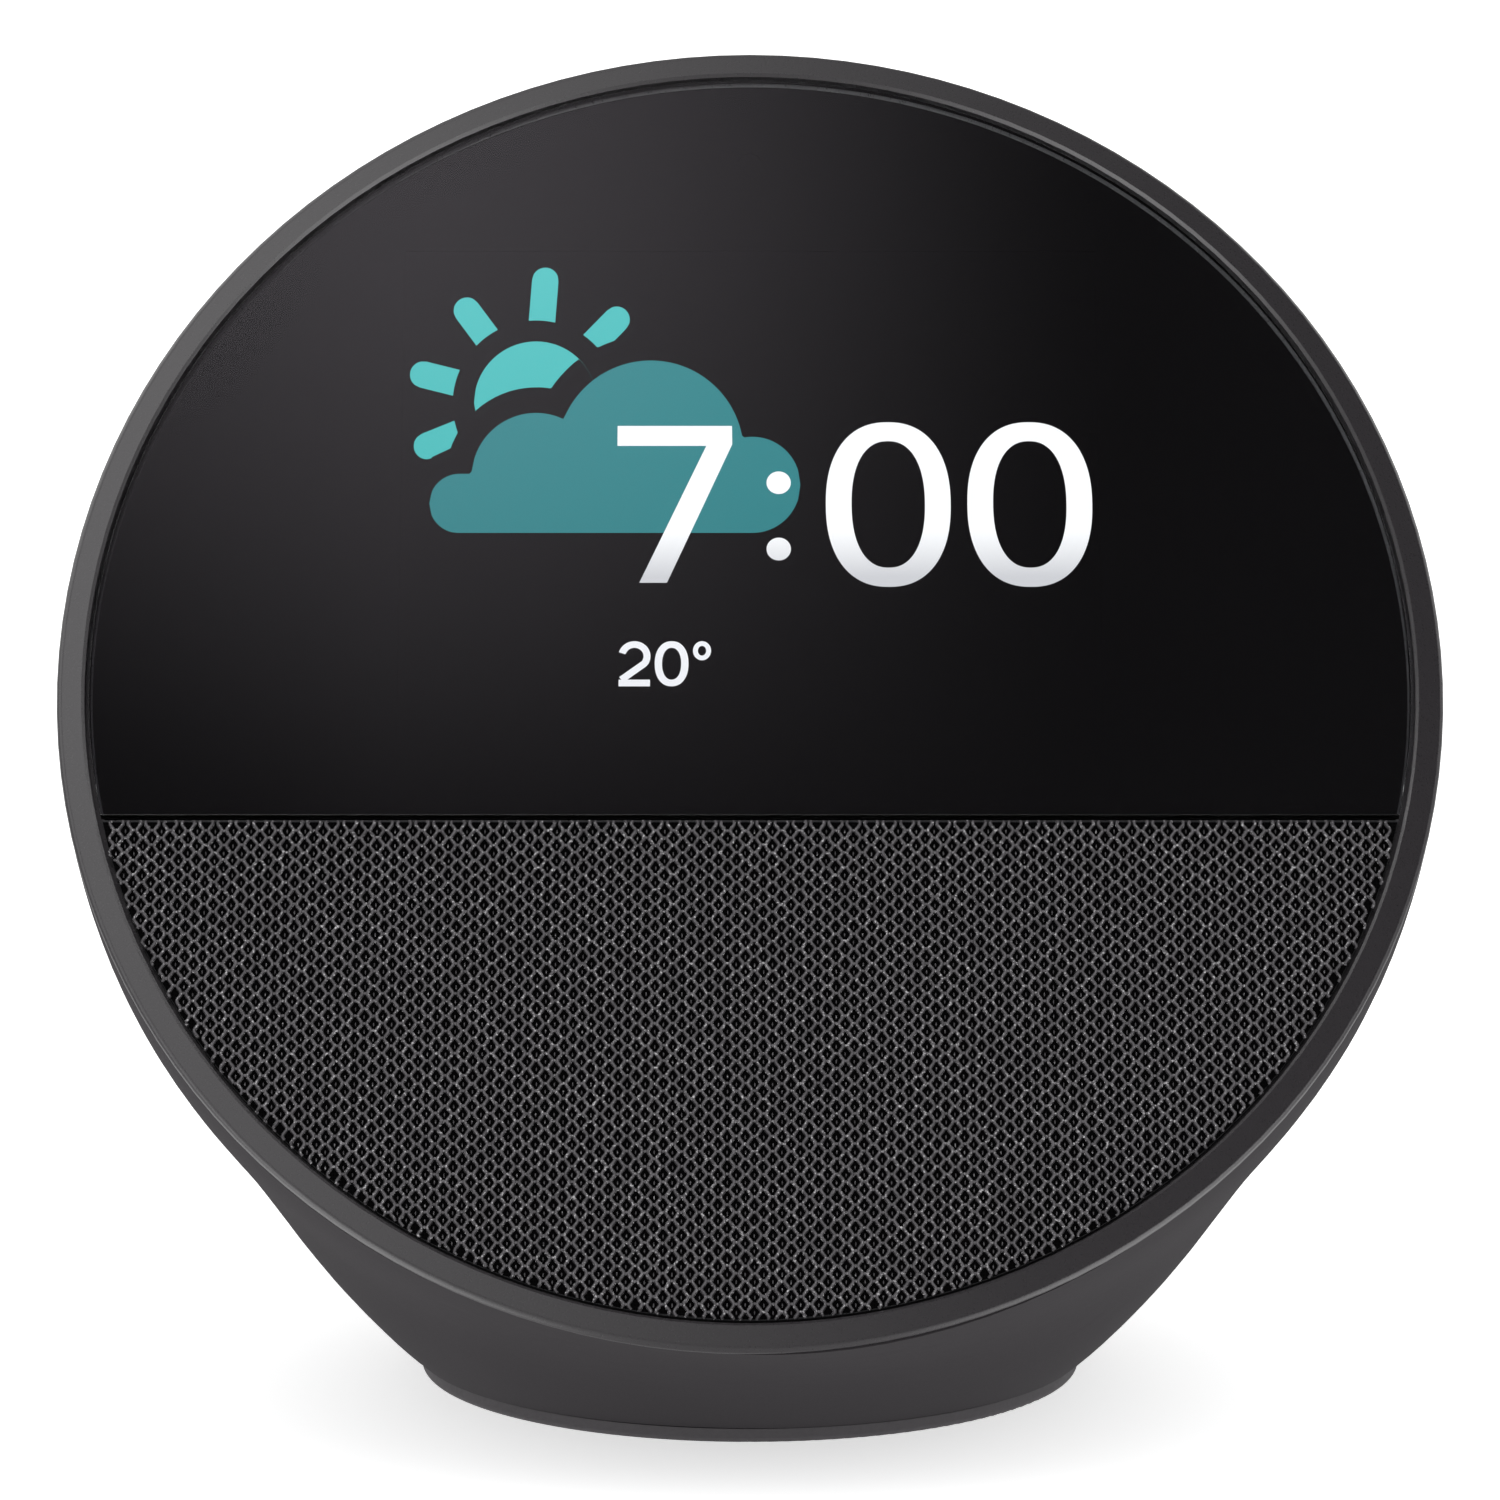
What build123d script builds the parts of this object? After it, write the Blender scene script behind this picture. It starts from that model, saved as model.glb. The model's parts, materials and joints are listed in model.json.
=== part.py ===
from build123d import *
import math
import os

import numpy as np

# Smart display with a round, leaning face on a dome-shaped body.
#
# Millimetres, +Z up. The origin is the centre of the foot pad's underside. The face looks towards -Y and
# leans back by TILT, so its plane has its own frame: x to the right, v up along the face, w out of it.

# ---------------------------------------------------------------- driving dimensions
HEIGHT = 111.0  # table to the top of the bezel
DEPTH = 103.0  # lowest edge of the bezel to the rearmost point of the dome
FACE_R = 56.5  # outer radius of the bezel
TILT = 29.0  # lean of the face from upright, degrees
BASE_R = 28.4  # radius where the dome meets the foot
FACE_AHEAD = 20.5  # face centre ahead of the foot's centre
REAR_Z = 50.0  # height of the rearmost point
SWELL = 2.1  # how fast the dome widens from the foot towards the face
WALL = 2.2  # housing wall, measured in a section plane
SECTIONS = 10  # elliptical sections that carry the dome
OVAL_POINTS = 12

FOOT_R, FOOT_H = 28.0, 1.2
SEAM = 0.15  # shadow line between outer pieces
BASE_Z = FOOT_H + SEAM  # underside of the housing
FLOOR_TOP = BASE_Z + 2.4

# levels along w, out of the face
MOUTH_W = -1.2  # front edge of the housing
GLASS_W, GLASS_T = -0.25, 1.2
SHELF_W = -1.6  # bezel shelf that carries the glass and the grille
BEZEL_BACK_W = -3.2
CHASSIS_W, CHASSIS_T = -5.2, 1.8
CHASSIS_BACK_W = CHASSIS_W - CHASSIS_T
BOARD_W, BOARD_T = -10.0, 1.2
BOARD_BACK_W = BOARD_W - BOARD_T

BEZEL_IN_R = 54.2
BEZEL_DROP = 0.85  # the bezel's sloping front falls back by this much at its outer edge
SHELF_R = 51.6
GLASS_R = 53.85
CHASSIS_R = 51.3
SPLIT_V = -11.8  # line where the glass meets the grille
BAR_LOW, BAR_HIGH = -13.9, -7.0  # crossbar behind that line
SEAL_W = -3.2  # front of the seal round the driver

LCD_V = 17.0  # height of the display's centre on the face
LCD_SIZE = (61.0, 46.4)
LCD_ACTIVE = (57.5, 43.1)

SPEAKER_V = -29.0
SPEAKER_R = 22.0

BUTTON_BEHIND = 15.0  # distance of the buttons behind the face plane
BUTTON_PITCH = 15.0
BUTTON_R = 4.6
BUTTON_GAP = 0.25
BUTTON_PROUD = 0.3
SWITCH_BOARD_DEPTH = 11.0  # top of the button board below the dome's crest

JACK_Z = 21.0
JACK_FLOOR_Y = 40.8  # floor of the plug recess
JACK_FLOOR_T = 1.4
JACK_MOUTH_Y = JACK_FLOOR_Y - JACK_FLOOR_T  # the socket's mouth, behind that floor
JACK_RECESS_R = 5.7
JACK_NOSE_R = 3.5
JACK_BORE_R = 2.1
JACK_PIN_R = 0.825

tilt = math.radians(TILT)
sin_t, cos_t = math.sin(tilt), math.cos(tilt)
face_z = HEIGHT - FACE_R * cos_t + BEZEL_DROP * sin_t
face_y = -FACE_AHEAD
rear_y = face_y - FACE_R * sin_t + 0.65 * BEZEL_DROP + DEPTH
FACE = Plane(origin=(0, face_y, face_z), x_dir=(1, 0, 0), z_dir=(0, -cos_t, sin_t))


# ---------------------------------------------------------------- frames and small helpers
def on_face(shape):
    """A shape drawn in (x, v, w) put on the leaning face."""
    return FACE.location * shape


def face_point(x, v, w):
    return FACE.from_local_coords(Vector(x, v, w))


def slab(x0, x1, v0, v1, w0, w1):
    """Box between two corners in whatever frame it is used."""
    return Pos((x0 + x1) / 2, (v0 + v1) / 2, (w0 + w1) / 2) * Box(x1 - x0, v1 - v0, w1 - w0)


def disc(x, v, r, w0, w1):
    """Cylinder along the frame's third axis, between two levels."""
    return Pos(x, v, (w0 + w1) / 2) * Cylinder(r, abs(w1 - w0))


def ring(x, v, r0, r1, w0, w1):
    return disc(x, v, r1, w0, w1) - disc(x, v, r0, w0 - 1, w1 + 1)


def turned(points, x=0.0, v=0.0):
    """Solid of revolution about the third axis, from (radius, level) points."""
    outline = Polyline(*[(r, 0, w) for r, w in points], close=True)
    return Pos(x, v, 0) * revolve(make_face(outline), Axis.Z, 360)


def bent_strip(points, x0, x1, thickness):
    """Flat cable made of straight legs that meet square, from (v, w) corner points."""
    half = thickness / 2
    legs = []
    for (v0, w0), (v1, w1) in zip(points, points[1:]):
        low_v, high_v = sorted((v0, v1))
        low_w, high_w = sorted((w0, w1))
        legs.append(slab(x0, x1, low_v - half, high_v + half, low_w - half, high_w + half))
    return Part() + legs


def wire_run(points, radius, bend):
    """Round wire along a route with rounded corners."""
    path = FilletPolyline(*points, radius=bend)
    start = Plane(origin=path @ 0, z_dir=path % 0)
    return sweep(start * Circle(radius), path=path)


def along_y(radius, y0, y1):
    """Cylinder towards the rear at the height of the power inlet."""
    return Pos(0, (y0 + y1) / 2, JACK_Z) * Rot(-90, 0, 0) * Cylinder(radius, y1 - y0)


def together(*shapes):
    """Several separate solids in one node."""
    solids = [s for shape in shapes for s in shape.solids()]
    return Compound(children=solids)


# ---------------------------------------------------------------- the dome
def hermite(start, end, start_heading, end_heading, steps=60):
    """Curve between two points of the side profile, leaving and arriving at the given headings."""
    start, end = np.array(start), np.array(end)
    reach = np.hypot(*(end - start))
    a, b = math.radians(start_heading), math.radians(end_heading)
    leave = reach * np.array([math.cos(a), math.sin(a)])
    arrive = reach * np.array([math.cos(b), math.sin(b)])
    u = np.linspace(0, 1, steps)[:, None]
    return (
        (2 * u**3 - 3 * u**2 + 1) * start
        + (u**3 - 2 * u**2 + u) * leave
        + (3 * u**2 - 2 * u**3) * end
        + (u**3 - u**2) * arrive
    )


mouth = np.array([face_y - MOUTH_W * cos_t, face_z + MOUTH_W * sin_t])
up_face = np.array([sin_t, cos_t])
mouth_top, mouth_bottom = mouth + FACE_R * up_face, mouth - FACE_R * up_face
BACK = np.vstack(
    [
        hermite(mouth_top, (rear_y, REAR_Z), -38, -90),
        hermite((rear_y, REAR_Z), (BASE_R, BASE_Z), -90, -132)[1:],
    ]
)
BELLY = hermite(mouth_bottom, (-BASE_R, BASE_Z), -23, -32)
# The mouth plane and the base plane meet in this line along X, and every section plane holds it.
hinge = np.array([mouth_bottom[0] - (mouth_bottom[1] - BASE_Z) * math.tan(tilt), BASE_Z])
FAN = math.pi / 2 - tilt


def reach_at(curve, angle):
    """Distance from the hinge line to a profile curve, in the section plane at that angle."""
    away = curve - hinge
    angles = np.arctan2(away[:, 1], away[:, 0])
    return float(np.interp(angle, angles[::-1], np.hypot(away[:, 0], away[:, 1])[::-1]))


def oval(along, across):
    """Ellipse as a closed spline that always starts on the first axis, so that the loft can't twist."""
    turns = [2 * math.pi * i / OVAL_POINTS for i in range(OVAL_POINTS)]
    points = [(along * math.cos(a), across * math.sin(a)) for a in turns]
    return make_face(Spline(*points, periodic=True))


def dome(inset):
    """The body as a solid: ellipses in a fan of planes, from the base circle to the mouth circle."""
    rings = []
    for i in range(SECTIONS):
        u = i / (SECTIONS - 1)
        angle = u * FAN
        far, near = reach_at(BACK, angle), reach_at(BELLY, angle)
        across = BASE_R + (FACE_R - BASE_R) * (1 - (1 - u) ** SWELL) - inset
        along = (far - near) / 2 - inset
        centre = (far + near) / 2
        plane = Plane(
            origin=(0, hinge[0] + centre * math.cos(angle), hinge[1] + centre * math.sin(angle)),
            x_dir=(0, -math.cos(angle), -math.sin(angle)),
            z_dir=(0, -math.sin(angle), math.cos(angle)),
        )
        rings.append(plane * oval(along, across))
    return loft(rings)


OUTER = dome(0)
INNER = dome(WALL)


def crest():
    """Frame of the buttons: on the dome's crest, z along its outward normal, y towards the rear."""
    away = BACK - np.array([face_y, face_z])
    behind = away[:, 0] * cos_t - away[:, 1] * sin_t
    i = int(np.searchsorted(behind, BUTTON_BEHIND))
    share = (BUTTON_BEHIND - behind[i - 1]) / (behind[i] - behind[i - 1])
    point = BACK[i - 1] + share * (BACK[i] - BACK[i - 1])
    along = BACK[i] - BACK[i - 1]
    along = along / np.hypot(*along)
    return Plane(origin=(0, *point), x_dir=(1, 0, 0), z_dir=(0, -along[1], along[0]))


CREST = crest()


def on_crest(shape):
    return CREST.location * shape


# ---------------------------------------------------------------- housing
def around(radius, *degrees):
    """Points at the given angles on a circle about the origin."""
    return [(radius * math.cos(math.radians(a)), radius * math.sin(math.radians(a))) for a in degrees]


CHASSIS_BOSSES = around(49.3, 25, 155, 210, 330)
BASE_SCREWS = around(23.5, 90, 210, 330)
BOARD_SCREWS = [(sx * x, v) for x, v in ((39.0, 3.0), (24.0, 36.0)) for sx in (1, -1)]
BEZEL_SCREWS = around(49.0, 0, 74, 106, 180, 220, 320)
BUTTON_POSTS = [(-9.0, 9.5), (9.0, 9.5)]
POWER_POSTS = [(-8.5, 29.5), (8.5, 29.5)]
BUTTON_XS = (-BUTTON_PITCH, 0.0, BUTTON_PITCH)
MIC_SPOTS = [(-22.6, 0.0), (-7.5, 0.0), (7.5, 0.0), (22.6, 0.0)]
MIC_HOLE_R = 0.5


def rear_housing():
    cavity = INNER & slab(-80, 80, -80, 80, FLOOR_TOP, 130)
    shell = OUTER - cavity - on_face(disc(0, 0, 55.15, -3.4, 2))
    inside = Part()
    for x, v in CHASSIS_BOSSES:
        inside += on_face(disc(x, v, 2.4, -34, CHASSIS_BACK_W))
    for x, y in BASE_SCREWS:
        inside += disc(x, y, 2.6, FLOOR_TOP - 1, 6.6)
    for x, y in BUTTON_POSTS:
        inside += on_crest(disc(x, y, 2.0, -SWITCH_BOARD_DEPTH, 0))
    for x, y in POWER_POSTS:
        inside += disc(x, y, 2.2, FLOOR_TOP - 2, POWER_BOARD_Z)
    inside += along_y(JACK_RECESS_R + 2.1, 36, 60)
    shell = shell + (inside & dome(0.4))
    # openings
    shell -= disc(0, 0, 21.0, BASE_Z - 1, 12) & slab(-80, 80, -80, 80, 0, FLOOR_TOP + 0.01)
    shell -= disc(0, 0, 26.4, BASE_Z - 1, BASE_Z + 1.35)
    for x, y in BASE_SCREWS:
        shell -= disc(x, y, 1.0, BASE_Z, 6.0)
    for x, v in CHASSIS_BOSSES:
        shell -= on_face(disc(x, v, 1.0, -14, CHASSIS_BACK_W + 1))
    for x in BUTTON_XS:
        shell -= on_crest(disc(x, 0, BUTTON_R + BUTTON_GAP, -9, 3))
    for x, y in BUTTON_POSTS:
        shell -= on_crest(disc(x, y, 0.7, -SWITCH_BOARD_DEPTH - 1, -5.5))
    for x, y in MIC_SPOTS:
        shell -= on_crest(disc(x, y, MIC_HOLE_R, -10, 3))
    for x, y in POWER_POSTS:
        shell -= disc(x, y, 0.8, POWER_BOARD_Z - 5, POWER_BOARD_Z + 1)
    shell -= along_y(JACK_RECESS_R, JACK_FLOOR_Y, 70)
    shell -= along_y(JACK_NOSE_R + 0.1, 25, JACK_MOUTH_Y)
    shell -= along_y(JACK_BORE_R + 0.3, 25, JACK_FLOOR_Y + 1)
    return shell


def base_plate():
    plate = disc(0, 0, 26.1, FOOT_H, BASE_Z + 1.25)
    plate += ring(0, 0, 17.4, 18.8, BASE_Z + 1.0, FLOOR_TOP + 1.2)
    for i in range(6):
        plate += Rot(0, 0, 60 * i) * slab(4, 18, -0.6, 0.6, BASE_Z + 1.0, FLOOR_TOP + 0.6)
    plate += ring(0, 0, 3.0, 4.6, BASE_Z + 1.0, FLOOR_TOP + 0.6)
    for x, y in BASE_SCREWS:
        plate -= disc(x, y, 1.35, BASE_Z - 1, BASE_Z + 3)
        plate -= disc(x, y, 2.3, BASE_Z - 1, BASE_Z + 0.6)
    return plate


def screw(x, y, head_r, head_t, shank_r, head_level, tip_level):
    """Pan screw along the frame's third axis: the head sits beyond head_level, away from the tip."""
    away = 1 if head_level > tip_level else -1
    body = disc(x, y, head_r, head_level, head_level + away * head_t)
    body += disc(x, y, shank_r, head_level, tip_level)
    body -= disc(x, y, head_r * 0.45, head_level + away * head_t * 0.45, head_level + away * (head_t + 1))
    return body


def foot_pad():
    pad = disc(0, 0, FOOT_R, 0, FOOT_H)
    return fillet(pad.edges().sort_by(Axis.Z)[0], 0.45)


# ---------------------------------------------------------------- front of the face
def bezel_ring():
    neck_r, back_w = 55.0, MOUTH_W + SEAM
    slope_end, slope_w = FACE_R - 0.45, -0.42
    outline = (
        Polyline((BEZEL_IN_R + 0.25, 0, 0), (BEZEL_IN_R, 0, -0.25), (BEZEL_IN_R, 0, SHELF_W))
        + Polyline((BEZEL_IN_R, 0, SHELF_W), (SHELF_R, 0, SHELF_W), (SHELF_R, 0, BEZEL_BACK_W))
        + Polyline((SHELF_R, 0, BEZEL_BACK_W), (neck_r, 0, BEZEL_BACK_W), (neck_r, 0, back_w))
        + Polyline((neck_r, 0, back_w), (FACE_R, 0, back_w), (FACE_R, 0, -BEZEL_DROP))
        + ThreePointArc((FACE_R, 0, -BEZEL_DROP), (FACE_R - 0.11, 0, -0.58), (slope_end, 0, slope_w))
        + Line((slope_end, 0, slope_w), (BEZEL_IN_R + 0.25, 0, 0))
    )
    ring_body = revolve(make_face(outline), Axis.Z, 360)
    ring_body += slab(-60, 60, BAR_LOW, BAR_HIGH, BEZEL_BACK_W, SHELF_W) & disc(0, 0, SHELF_R + 0.5, -5, 0)
    for x, v in BEZEL_SCREWS:
        tab = slab(46.8, 52.5, -2.4, 2.4, BEZEL_BACK_W, BEZEL_BACK_W + 0.7)
        ring_body += Rot(0, 0, math.degrees(math.atan2(v, x))) * tab
    for x, v in BEZEL_SCREWS:
        ring_body -= disc(x, v, 0.8, BEZEL_BACK_W - 1, BEZEL_BACK_W + 0.65)
    return on_face(ring_body)


def face_segment(r, v_low, v_high, w0, w1):
    """Disc between two levels, kept between two heights on the face."""
    return disc(0, 0, r, w0, w1) & slab(-60, 60, v_low, v_high, w0 - 1, w1 + 1)


def cover_glass():
    glass = face_segment(GLASS_R, SPLIT_V + 0.1, 60, GLASS_W - GLASS_T, GLASS_W)
    return on_face(chamfer(glass.faces().sort_by(Axis.Z)[-1].edges(), 0.15))


def glass_adhesive():
    """Black adhesive sheet that holds the glass and frames the display's window."""
    sheet = face_segment(53.6, SPLIT_V + 0.2, 60, SHELF_W, GLASS_W - GLASS_T)
    half_x, half_v = LCD_ACTIVE[0] / 2, LCD_ACTIVE[1] / 2
    sheet -= slab(-half_x, half_x, LCD_V - half_v, LCD_V + half_v, -3, 0)
    sheet -= disc(0, 46.5, 1.0, -3, 0)
    return on_face(sheet)


def touch_film():
    return on_face(face_segment(51.3, BAR_HIGH + 0.3, 44.5, SHELF_W - 0.18, SHELF_W))


def lcd_box(grow, w0, w1):
    half_x, half_v = LCD_SIZE[0] / 2 + grow, LCD_SIZE[1] / 2 + grow
    return slab(-half_x, half_x, LCD_V - half_v, LCD_V + half_v, w0, w1)


def lcd_frame():
    tray = lcd_box(0.5, CHASSIS_W, -2.45) - lcd_box(0.1, -4.4, 0)
    for i in range(3):
        tray -= slab(-22 + 16 * i, -10 + 16 * i, LCD_V - 8, LCD_V + 8, -6, -4)
    return on_face(tray)


def light_sensor():
    return on_face(slab(-1.6, 1.6, 45.4, 47.6, SHELF_W - 0.9, SHELF_W))


def grille_panel():
    panel = face_segment(53.8, -60, SPLIT_V - 0.15, SHELF_W, -0.95)
    panel += face_segment(51.3, -60, BAR_LOW - 0.1, SHELF_W - 0.8, SHELF_W)
    panel += ring(0, SPEAKER_V, 20.2, 21.6, SEAL_W, SHELF_W) & slab(-60, 60, -60, BAR_LOW - 0.1, -5, 0)
    pitch = 3.1
    holes = []
    for row in range(-8, 9):
        for col in range(-8, 9):
            x = (col + (row % 2) / 2) * pitch
            v = row * pitch * math.sqrt(3) / 2
            if math.hypot(x, v) < 18.5 and SPEAKER_V + v < BAR_LOW - 1.3:
                holes.append(disc(x, SPEAKER_V + v, 1.05, -4, 0))
    return on_face(panel - holes)


def grille_fabric():
    return on_face(face_segment(53.95, -60, SPLIT_V - 0.1, -0.95, -0.45))


# ---------------------------------------------------------------- chassis and boards
def front_chassis():
    plate = disc(0, 0, CHASSIS_R, CHASSIS_BACK_W, CHASSIS_W)
    plate -= disc(0, SPEAKER_V, 20.0, -10, 0)
    plate -= slab(-9.2, 9.2, 41.4, 44.6, -10, 0)
    for sx in (1, -1):
        plate -= slab(min(sx * 6, sx * 26), max(sx * 6, sx * 26), 8, 26, -10, 0)
    for x, v in BEZEL_SCREWS:
        plate += disc(x, v, 1.9, CHASSIS_W - 1, BEZEL_BACK_W)
    for x, v in BOARD_SCREWS:
        plate += disc(x, v, 2.0, BOARD_W, CHASSIS_BACK_W + 1)
    for x, v in BEZEL_SCREWS:
        plate -= disc(x, v, 1.0, -10, 0)
    for x, v in BOARD_SCREWS:
        plate -= disc(x, v, 0.8, BOARD_W - 1, BOARD_W + 3.6)
    for x, v in SPEAKER_EARS:
        plate -= disc(x, v, 0.8, -10, CHASSIS_W - 0.3)
    for x, v in CHASSIS_BOSSES:
        plate -= disc(x, v, 1.2, -10, 0)
        plate -= disc(x, v, 2.1, CHASSIS_W - 0.9, 0)
    return on_face(plate)


def main_board():
    board = face_segment(46.0, -2.0, 39.5, BOARD_BACK_W, BOARD_W)
    for x, v in BOARD_SCREWS:
        board -= disc(x, v, 1.1, -14, -8)
    return on_face(board)


def shield_can(x0, x1, v0, v1, height):
    can = slab(x0, x1, v0, v1, BOARD_BACK_W - height, BOARD_BACK_W)
    can -= slab(x0 + 0.25, x1 - 0.25, v0 + 0.25, v1 - 0.25, BOARD_BACK_W - height + 0.25, BOARD_BACK_W + 1)
    return can


def board_parts():
    """Processor, memory and radio under the two shields, and the small parts of both boards."""
    level = BOARD_BACK_W
    chips = [
        slab(-14, -2, 13, 25, level - 1.3, level),
        slab(-1, 5.5, 14, 24, level - 1.1, level),
        slab(16, 23, 16, 23, level - 1.0, level),
        slab(-31, -25, 12, 18, level - 1.6, level),
        slab(-31.5, -24.5, 22, 29, level - 3.0, level),
    ]
    for i in range(6):
        chips.append(slab(-20 + 4 * i, -18 + 4 * i, 3.0, 4.2, level - 0.8, level))
    for i in range(4):
        chips.append(slab(27, 29, 12 + 4 * i, 13.2 + 4 * i, level - 0.8, level))
    top = POWER_BOARD_TOP
    choke = slab(-9.5, -5.2, 17.5, 22.5, top, top + 3.2)
    capacitor = disc(7.6, 24.4, 1.9, top, top + 5.0)
    socket = slab(1.6, 8.4, 17.0, 21.5, top, top + SOCKET_H)
    return together(on_face(together(*chips)), choke, capacitor, socket)


SOCKET_H = 3.2  # harness socket on the power board
PLUG_H = 3.0  # harness and speaker plugs on the main board
FLEX_CLAMP_H = 1.2


def board_connectors():
    front = slab(-10, 10, 34.4, 38.4, BOARD_W, BOARD_W + FLEX_CLAMP_H)
    button = slab(9, 19, 36.0, 39.2, BOARD_BACK_W - FLEX_CLAMP_H, BOARD_BACK_W)
    power = slab(2.5, 9.5, -1.0, 3.0, BOARD_BACK_W - PLUG_H, BOARD_BACK_W)
    speaker = slab(-18, -12, -1.0, 2.5, BOARD_BACK_W - PLUG_H, BOARD_BACK_W)
    return on_face(together(front, button, power, speaker))


def wifi_antennas():
    """Two folded metal antennas at the board's sides."""
    out = []
    for sx in (1, -1):
        foot = slab(min(sx * 36, sx * 43), max(sx * 36, sx * 43), 12, 13.5, BOARD_BACK_W - 0.3, BOARD_BACK_W)
        post = slab(min(sx * 36, sx * 36.4), max(sx * 36, sx * 36.4), 12, 24, BOARD_BACK_W - 4, BOARD_BACK_W)
        arm = slab(min(sx * 36, sx * 41.5), max(sx * 36, sx * 41.5), 12, 24, BOARD_BACK_W - 4.3, BOARD_BACK_W - 4)
        out.append(foot + post + arm)
    return on_face(together(*out))


SHIELD_H = 2.2
PAD_T = 0.9


def heat_spreader():
    top = BOARD_BACK_W - SHIELD_H - PAD_T
    plate = slab(-22, 30, 8, 31, top - 1.4, top)
    for i in range(7):
        plate += slab(-20 + 8 * i, -18.8 + 8 * i, 8, 31, top - 5.4, top - 1)
    return on_face(plate)


def thermal_pad():
    top = BOARD_BACK_W - SHIELD_H
    return on_face(slab(-15, 5, 11, 26, top - PAD_T, top))


def display_flex():
    points = [(40.5, -2.2), (42.9, -2.2), (42.9, -9.4), (38.7, -9.4)]
    return on_face(bent_strip(points, -8, 8, 0.25))


# ---------------------------------------------------------------- speaker
FLANGE_W = -7.5
RIM_W = -7.95  # level where the surround is glued, on the cone's rim and on the flange
SPIDER_W = -15.2
SPIDER_STEP = 0.76  # radial width of half a corrugation
COIL_R = 6.7
SPEAKER_EARS = [(x, SPEAKER_V + v) for x, v in around(23.4, 45, 135, 225, 315)]


def acoustic_seal():
    return on_face(ring(0, SPEAKER_V, 20.2, 21.6, CHASSIS_W, SEAL_W))


def speaker_gasket():
    return on_face(ring(0, SPEAKER_V, 20.1, SPEAKER_R, FLANGE_W, CHASSIS_BACK_W))


def speaker_basket():
    step = [(19.3, RIM_W), (20.1, RIM_W), (20.1, FLANGE_W), (SPEAKER_R, FLANGE_W), (SPEAKER_R, -8.5)]
    outside = [(20.4, -8.5), (14.2, -15.2), (14.2, -17.0), (7.6, -17.0)]
    inside = [(7.6, -16.0), (12.0, -16.0), (12.0, SPIDER_W - 0.3), (13.0, SPIDER_W - 0.3), (19.3, -8.4)]
    profile = step + outside + inside
    basket = turned(profile, 0, SPEAKER_V)
    for x, v in SPEAKER_EARS:
        basket += disc(x, v, 2.3, -8.5, FLANGE_W)
    for x, v in SPEAKER_EARS:
        basket -= disc(x, v, 1.1, -10, 0)
    for i in range(6):
        window = Pos(0, SPEAKER_V, -12.2) * Rot(0, 0, 30 + 60 * i) * slab(14.5, 24, -4.5, 4.5, -1.9, 1.9)
        basket -= window
    return on_face(basket)


def speaker_top_plate():
    return on_face(ring(0, SPEAKER_V, 7.3, 13.4, -18.5, -17.0))


def speaker_magnet():
    return on_face(ring(0, SPEAKER_V, 9.2, 15.0, -23.5, -18.5))


def speaker_yoke():
    profile = [(0, -25.6), (13.0, -25.6), (13.4, -25.2), (13.4, -23.5), (6.1, -23.5), (6.1, -16.8), (0, -16.8)]
    return on_face(turned(profile, 0, SPEAKER_V))


def speaker_coil():
    """Paper former with the winding on its lower end."""
    former = ring(0, SPEAKER_V, COIL_R - 0.25, COIL_R, -20.6, -12.9)
    winding = ring(0, SPEAKER_V, COIL_R, COIL_R + 0.3, -19.0, -16.7)
    return on_face(former + winding)


def speaker_cone():
    front = [(17.3, RIM_W), (16.3, RIM_W), (COIL_R, -12.9)]
    back = [(COIL_R, -13.4), (7.2, -13.5), (16.5, -8.35), (17.3, -8.35)]
    profile = back + front
    return on_face(turned(profile, 0, SPEAKER_V))


def speaker_dust_cap():
    cap_r, rise, t = 8.0, 2.4, 0.35
    ball = (cap_r**2 + rise**2) / (2 * rise)
    level = -12.1
    dome_out = Pos(0, SPEAKER_V, level + rise - ball) * Sphere(ball)
    dome_in = Pos(0, SPEAKER_V, level + rise - ball) * Sphere(ball - t)
    return on_face((dome_out - dome_in) & slab(-20, 20, SPEAKER_V - 20, SPEAKER_V + 20, level, level + 5))


def speaker_surround():
    """Rubber half roll between the cone's rim and the basket's flange."""
    mid, outer_r, inner_r = 18.25, 0.95, 0.6
    low, top = RIM_W, RIM_W + 0.35
    outline = (
        Polyline((mid - inner_r, 0, top), (mid - inner_r, 0, low), (16.5, 0, low), (16.5, 0, top))
        + Line((16.5, 0, top), (mid - outer_r, 0, top))
        + ThreePointArc((mid - outer_r, 0, top), (mid, 0, top + outer_r), (mid + outer_r, 0, top))
        + Polyline((mid + outer_r, 0, top), (20.05, 0, top), (20.05, 0, low), (mid + inner_r, 0, low))
        + Line((mid + inner_r, 0, low), (mid + inner_r, 0, top))
        + ThreePointArc((mid + inner_r, 0, top), (mid, 0, top + inner_r), (mid - inner_r, 0, top))
    )
    return on_face(Pos(0, SPEAKER_V, 0) * revolve(make_face(outline), Axis.Z, 360))


def speaker_spider():
    """Corrugated cloth disc that centres the coil."""
    top = [(COIL_R + SPIDER_STEP * i, SPIDER_W + (0.35 if i % 2 else 0.0)) for i in range(9)]
    low = [(r, w - 0.3) for r, w in reversed(top)]
    return on_face(turned(top + low, 0, SPEAKER_V))


TAG_XS = (-2.6, 2.6)


def speaker_terminal():
    strip_body = slab(-5, 5, SPEAKER_V + 20.5, SPEAKER_V + 22.9, -9.5, -8.5)
    tags = [slab(x - 0.6, x + 0.6, SPEAKER_V + 21.2, SPEAKER_V + 22.2, -11.0, -9.5) for x in TAG_XS]
    return on_face(strip_body + tags)


CHAMBER_HALF_X = 35.2
CHAMBER_WALL = 1.5


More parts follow.
